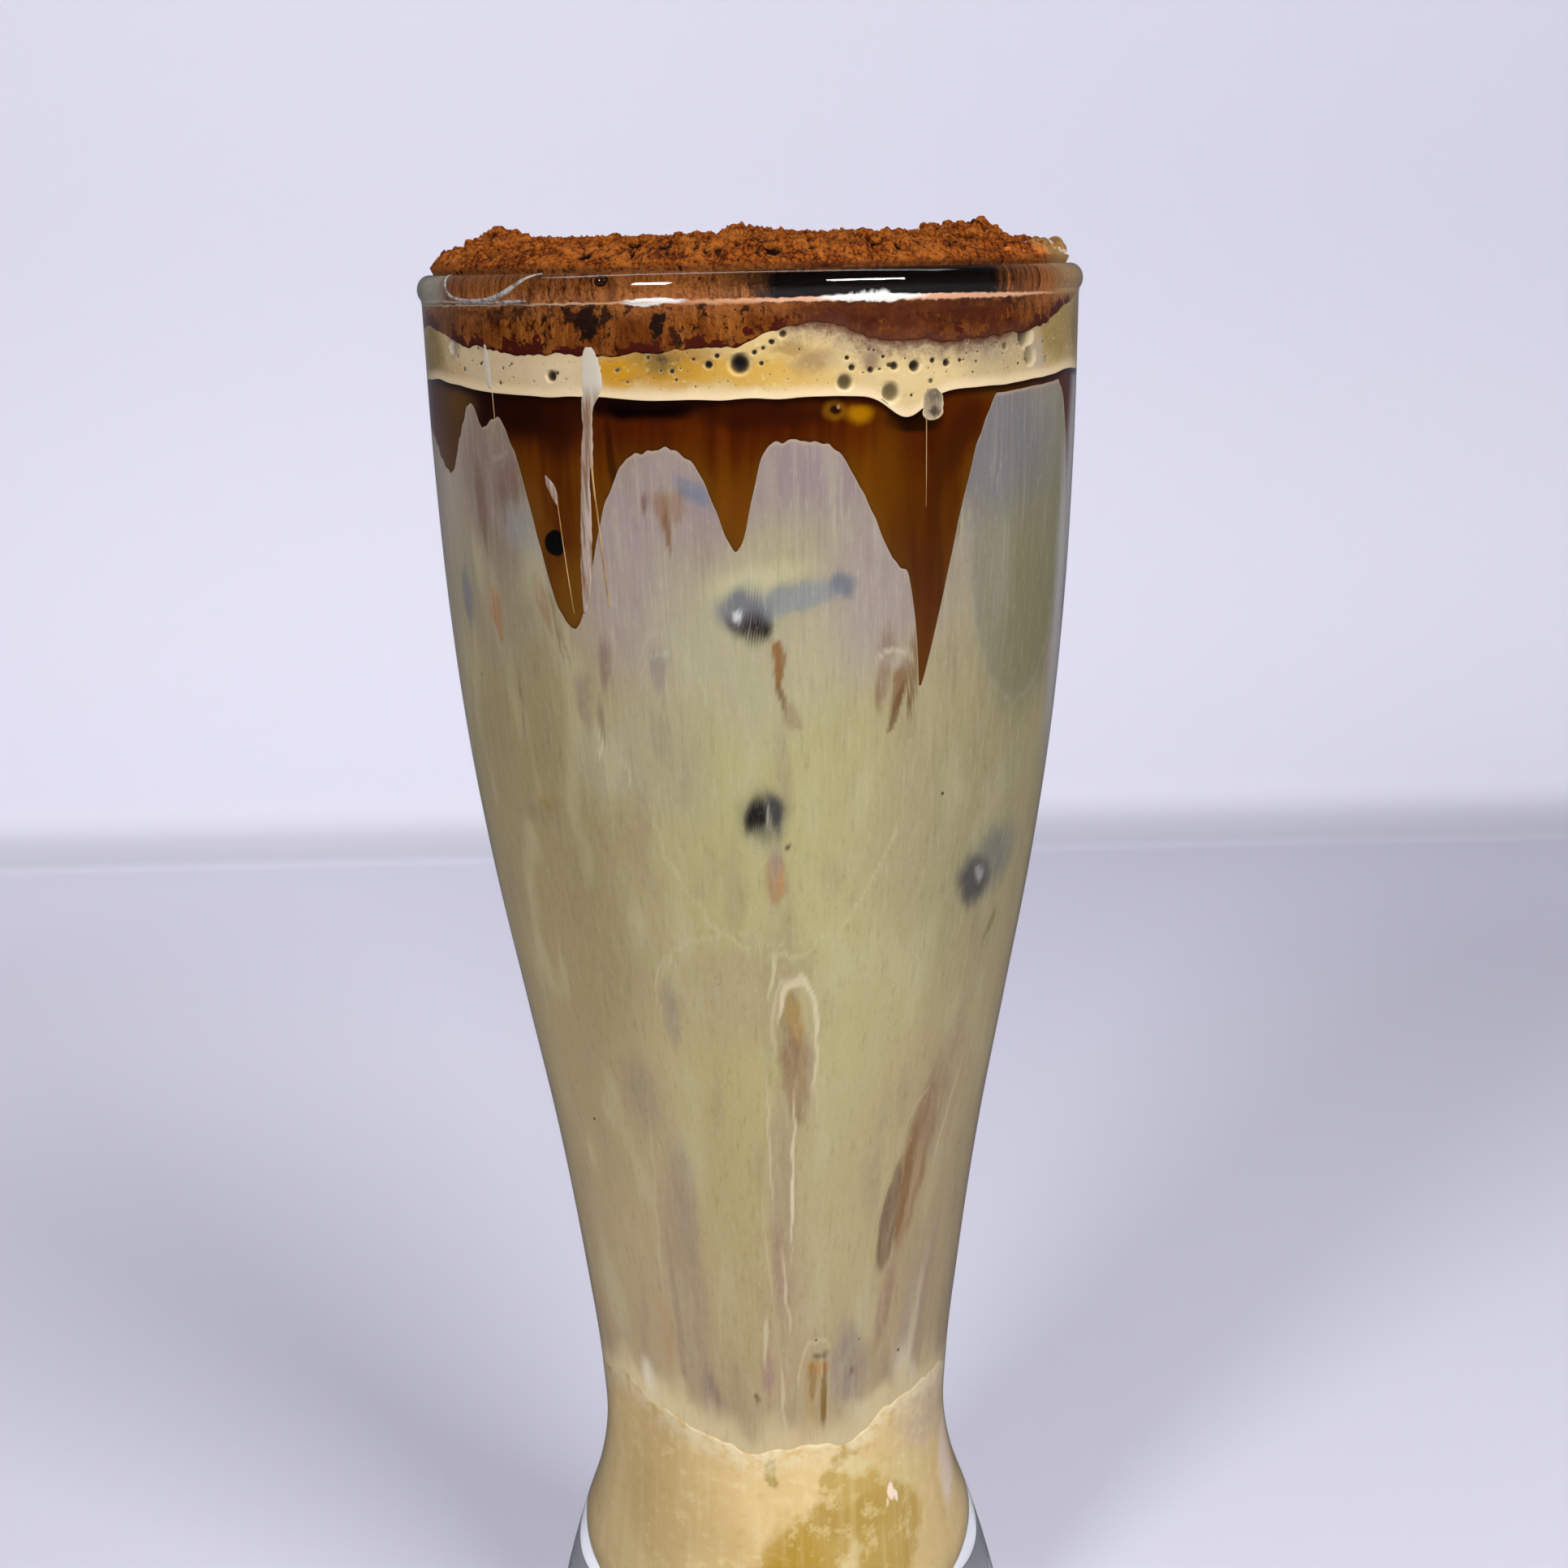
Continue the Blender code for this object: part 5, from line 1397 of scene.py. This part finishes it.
RIBBON_STEPS = 12
RIBBON_RAGGED = 0.18
RIBBON_EDGE_REACH = 0.13
RIBBON_BACK_REACH = 0.1
TUBE_STEPS = 10
TUBE_FLATNESS = 0.35


def refined(stations, steps):
    """Each column of the stations, smoothed, with this many steps from one station to the next."""
    at = np.arange(len(stations))
    fine = np.linspace(0, len(stations) - 1, steps * (len(stations) - 1) + 1)
    return [smooth_curve(list(zip(at, values)), fine) for values in np.array(stations, float).T]


def strand_faces(rows, count):
    """Faces of a closed strand through rows of this many points."""
    faces = []
    around = [(c, (c + 1) % count) for c in range(count)]
    for a in range(0, (rows - 1) * count, count):
        faces += [[a + c, a + after, a + count + after, a + count + c] for c, after in around]
    faces.append(list(range(count - 1, -1, -1)))
    faces.append(list(range((rows - 1) * count, rows * count)))
    return faces


def ribbon(stations, reach, columns=7):
    """Flat strand on the inside of the glass through (height, angle, half-width) stations."""
    height, angle, width = refined(stations, RIBBON_STEPS)
    points = []
    for h, a, w in zip(height, angle, width):
        ragged = 1 + RIBBON_RAGGED * noise.noise(Vector((a, h * 1.3, 4.2)))
        across = np.linspace(-1, 1, columns)
        side = np.degrees(across * w * ragged / cavity_radius(h))
        crown = np.sqrt(1 - across**2)
        painted_light_lift = reach * crown + RIBBON_EDGE_REACH * (1 - crown)
        points.extend(on_wall(a + side, h, painted_light_lift))
        points.extend(on_wall(a + side[::-1], h, RIBBON_BACK_REACH))
    return points, strand_faces(len(height), 2 * columns)


# Threads of milk on the wall, as (height, angle, half-width in millimetres) stations
BROAD_THREADS = [
    [(184.4, -27.4, 0.5), (183.6, -27.3, 1.15), (181.4, -27.1, 1.45), (179.8, -27.2, 1.35),
     (178.8, -27.9, 0.95), (177.6, -28.3, 0.75), (175.4, -28.3, 0.62), (173.4, -28.3, 0.5),
     (171.8, -28.0, 0.2)],
    [(176.6, -28.5, 0.3), (174.4, -28.9, 0.55), (171.0, -29.3, 0.62), (166.5, -29.7, 0.75),
     (162.0, -30.2, 0.75), (158.5, -30.8, 0.5), (156.2, -31.3, 0.15)],
    [(184.6, -50.6, 0.24), (183.4, -50.4, 0.5), (181.2, -50.2, 0.52), (180.0, -50.0, 0.3)],
    [(170.9, -37.6, 0.1), (170.0, -36.8, 0.55), (168.9, -36.0, 0.5), (167.8, -35.5, 0.12)],
]
FINE_THREADS = [
    [(173.0, -28.0, 0.16), (170.0, -27.8, 0.13), (166.0, -27.3, 0.1), (160.0, -26.6, 0.09),
     (157.0, -26.2, 0.06)],
    [(168.2, -35.4, 0.1), (165.0, -35.0, 0.08), (161.0, -34.4, 0.08), (156.0, -33.6, 0.06)],
    [(176.6, 29.7, 0.06), (172.0, 29.8, 0.05), (167.0, 29.9, 0.04)],
    [(180.2, -49.4, 0.08), (177.5, -49.2, 0.06), (176.0, -49.1, 0.04)],
]


# The grey bubble that hangs below the foam, as (height, angle, half-width in millimetres) stations
LOW_BUBBLE = [
    (179.4, 30.7, 0.7),
    (178.8, 30.9, 1.2),
    (177.8, 31.0, 1.45),
    (176.9, 31.0, 1.35),
    (176.3, 30.9, 0.9),
    (176.1, 30.8, 0.35),
]
LOW_BUBBLE_PATCHES = [
    (30.9, 178.1, 2.1, 1.9, -10, 0, 0.4, 0.9, (146, 128, 106)),
    (31.2, 178.8, 1.4, 0.9, -20, 0, 0.6, 0.7, (88, 76, 64)),
    (31.4, 177.0, 1.1, 0.6, 10, 0, 0.5, 0.9, (58, 44, 36)),
]


def build_low_bubble():
    graph = Graph("low bubble")
    grain = graph.noise(0.4, 0.4, 4, 0.7)
    colour = graph.mix(graph.ramp(grain, 0.35, 0.6), srgb(214, 186, 146), srgb(238, 214, 176))
    colour = graph.paint(colour, graph.wall(0.3, 0.6), LOW_BUBBLE_PATCHES)
    colour = graph.tone(colour, grain, 0.5, 0.66, (196, 182, 160), 0.4)
    material = graph.finish(colour, 0.4, 0.04, shade=SHADE["foam"])
    joined("low_bubble", [ribbon(LOW_BUBBLE, REACH["threads"], 13)], material)


def thread_material(name, dark, light):
    graph = Graph(name)
    strand = graph.noise(0.35, 7, 3, 0.6)
    colour = graph.mix(graph.ramp(strand, 0.35, 0.62), srgb(*dark), srgb(*light))
    height = graph.parts(graph.wall())[1]
    colour = graph.tone(colour, height, 178, 181, (216, 204, 190))
    return graph.finish(colour, 0.35, 0.04, shade=SHADE["milk"])


def build_threads():
    reach = REACH["threads"]
    broad = [ribbon(stations, reach) for stations in BROAD_THREADS]
    strand = thread_material("milk strand", (140, 104, 80), (192, 172, 160))
    joined("milk_strands", broad, strand)
    fine = [ribbon(stations, reach, 5) for stations in FINE_THREADS]
    thread = thread_material("milk thread", (170, 120, 66), (206, 168, 120))
    joined("milk_threads", fine, thread)


# A smear of milk looped over the lip: (angle, turn round the lip from its outermost line, half-width)
LIP_SMEAR = [
    (-61, 86, 0.16),
    (-60.4, 60, 0.2),
    (-59, 20, 0.22),
    (-57, -20, 0.22),
    (-52, -38, 0.24),
    (-47, -36, 0.26),
    (-43, -18, 0.3),
    (-40, 10, 0.28),
    (-37.6, 44, 0.22),
    (-35, 78, 0.16),
]
LIP_WEDGE = [(-62, -42, 0.08), (-54, -48, 0.16), (-46, -50, 0.2), (-41, -46, 0.3), (-37.6, -40, 0.1)]


def tube(stations, sides=8):
    """Strand lying on the glass's lip through (angle, turn, radius) stations."""
    angle, lip_turn, radius = refined(stations, TUBE_STEPS)
    tilt, around = np.radians(lip_turn), np.radians(angle)
    away = LIP_RADIUS + LIP_HALF_WIDTH * np.cos(tilt)
    up = LIP_CENTRE + LIP_HALF_HEIGHT * np.sin(tilt)
    centre = np.stack([away * np.sin(around), -away * np.cos(around), up], -1)
    ahead = np.gradient(centre, axis=0)
    ahead /= np.linalg.norm(ahead, axis=1)[:, None]
    outward = np.stack([np.cos(tilt) * np.sin(around), -np.cos(tilt) * np.cos(around), np.sin(tilt)], -1)
    side = np.cross(ahead, outward)
    side /= np.linalg.norm(side, axis=1)[:, None]
    points = []
    for middle, right, out, thick in zip(centre, side, outward, radius):
        for corner in np.linspace(0, 2 * np.pi, sides, endpoint=False):
            offset = np.cos(corner) * right * thick + np.sin(corner) * out * thick * TUBE_FLATNESS
            points.append((middle + offset) * MM)
    return points, strand_faces(len(radius), sides)


def build_lip_smear():
    graph = Graph("lip smear")
    film = graph.noise(0.5, 0.5, 4, 0.65)
    colour = graph.mix(graph.ramp(film, 0.35, 0.6), srgb(126, 110, 98), srgb(206, 198, 194))
    material = graph.finish(colour, 0.2, 0.3, shade=SHADE["milk"])
    joined("lip_smear", [tube(LIP_SMEAR), tube(LIP_WEDGE)], material)


# Stage, in metres: where its floor bends up into the backdrop, and how far it reaches
STAGE_BEND = 0.44
STAGE_BEND_RADIUS = 0.02
STAGE_REACH = 3.0
STAGE_TOP = 2.0


def build_stage():
    """A plain pale floor that sweeps up into a backdrop behind the glass."""
    outline = [(-STAGE_REACH, 0.0)]
    for turn in np.linspace(0, np.pi / 2, 16):
        y = STAGE_BEND + STAGE_BEND_RADIUS * np.sin(turn)
        outline.append((y, STAGE_BEND_RADIUS * (1 - np.cos(turn))))
    outline.append((STAGE_BEND + STAGE_BEND_RADIUS, STAGE_TOP))
    points = [(side * STAGE_REACH, y, z) for y, z in outline for side in (-1, 1)]
    faces = [(2 * i, 2 * i + 1, 2 * i + 3, 2 * i + 2) for i in range(len(outline) - 1)]
    mesh = bpy.data.meshes.new("floor")
    mesh.from_pydata(points, [], faces)
    mesh.shade_smooth()
    graph = Graph("floor")
    parts = graph.parts(graph.place)
    # Painted light and shade on the stage: darker to the right and up the backdrop, and the floor near the
    # glass a darker grey
    side = graph.ramp(parts[0], -0.26, 0.26)
    low_wall = graph.mix(side, srgb(228, 227, 238), srgb(217, 216, 227))
    high_wall = graph.mix(side, srgb(216, 215, 226), srgb(203, 202, 215))
    wall = graph.mix(graph.ramp(parts[2], 0.06, 0.23), low_wall, high_wall)
    far_floor = graph.mix(side, srgb(219, 218, 230), srgb(191, 190, 203))
    ground = graph.mix(graph.ramp(parts[1], 0.08, 0.28), srgb(196, 195, 207), far_floor)
    colour = graph.mix(graph.ramp(parts[2], 0.0, STAGE_BEND_RADIUS), ground, wall)
    # Painted shade along the bend between floor and backdrop
    from_bend = graph.math("ABSOLUTE", graph.math("SUBTRACT", parts[1], STAGE_BEND + 0.012))
    colour = graph.tone(colour, from_bend, 0.009, 0.002, (150, 149, 164), 0.35)
    # Painted reflection: in mirror rays the stage turns mostly black, so the glass reflects little of it
    path = graph.node("ShaderNodeLightPath").outputs
    in_mirror = graph.math("MULTIPLY", path["Is Glossy Ray"], path["Is Reflection Ray"])
    colour = graph.mix(graph.math("MULTIPLY", in_mirror, 0.85), colour, srgb(0, 0, 0))
    mesh.materials.append(graph.finish(colour, 0.7, 0.2))
    floor = bpy.data.objects.new("floor", mesh)
    bpy.context.scene.collection.objects.link(floor)


# Lamps, in metres and watts, all turned to one place on the glass: (name, place, size, power)
LIGHTS = [
    ("overhead", (0.0, 0.2, 1.0), (1.2, 0.2), 2.0),
    ("front_left", (-0.40, -0.60, 0.52), (0.16, 0.16), 4.5),
    ("front_right", (0.45, -0.54, 0.52), (0.34, 0.1), 6.6),
]
LIGHT_TARGET = Vector((0, 0, 0.12))


def add_light(name, place, size, power):
    light = bpy.data.lights.new(name, "AREA")
    light.shape = "RECTANGLE"
    light.size, light.size_y = size
    light.energy = power
    made = bpy.data.objects.new(name, light)
    made.location = place
    made.rotation_euler = (LIGHT_TARGET - Vector(place)).to_track_quat("-Z", "Y").to_euler()
    bpy.context.scene.collection.objects.link(made)


def build_lights():
    world = bpy.data.worlds.new("studio")
    world.use_nodes = True
    background = world.node_tree.nodes["Background"]
    background.inputs["Color"].default_value = srgb(240, 239, 250)
    background.inputs["Strength"].default_value = 0.22
    world.cycles_visibility.glossy = False
    bpy.context.scene.world = world
    for lamp in LIGHTS:
        add_light(*lamp)


def build_camera():
    camera = bpy.data.cameras.new("camera")
    camera.lens = LENS
    camera.sensor_width = 36
    camera.clip_start = 0.01
    made = bpy.data.objects.new("camera", camera)
    pitch, yaw, roll = np.radians([CAMERA_PITCH, CAMERA_YAW, CAMERA_ROLL])
    forward = Vector((np.sin(yaw) * np.cos(pitch), np.cos(yaw) * np.cos(pitch), -np.sin(pitch)))
    right = forward.cross(Vector((0, 0, 1))).normalized()
    up = right.cross(forward)
    across = np.cos(roll) * right + np.sin(roll) * up
    upward = -np.sin(roll) * right + np.cos(roll) * up
    turn = Matrix((across, upward, -forward)).transposed().to_4x4()
    made.matrix_world = Matrix.Translation(Vector(CAMERA_PLACE) * MM) @ turn
    bpy.context.scene.collection.objects.link(made)
    bpy.context.scene.camera = made
    bpy.context.scene.view_settings.view_transform = "Standard"


build_camera()
build_stage()
build_lights()
build_glass()
build_condensed_milk()
build_milk_coffee()
build_black_coffee()
build_foam()
build_cocoa()
build_crumbs()
build_rim_bubbles()
build_coffee_drop()
build_low_bubble()
build_threads()
build_lip_smear()
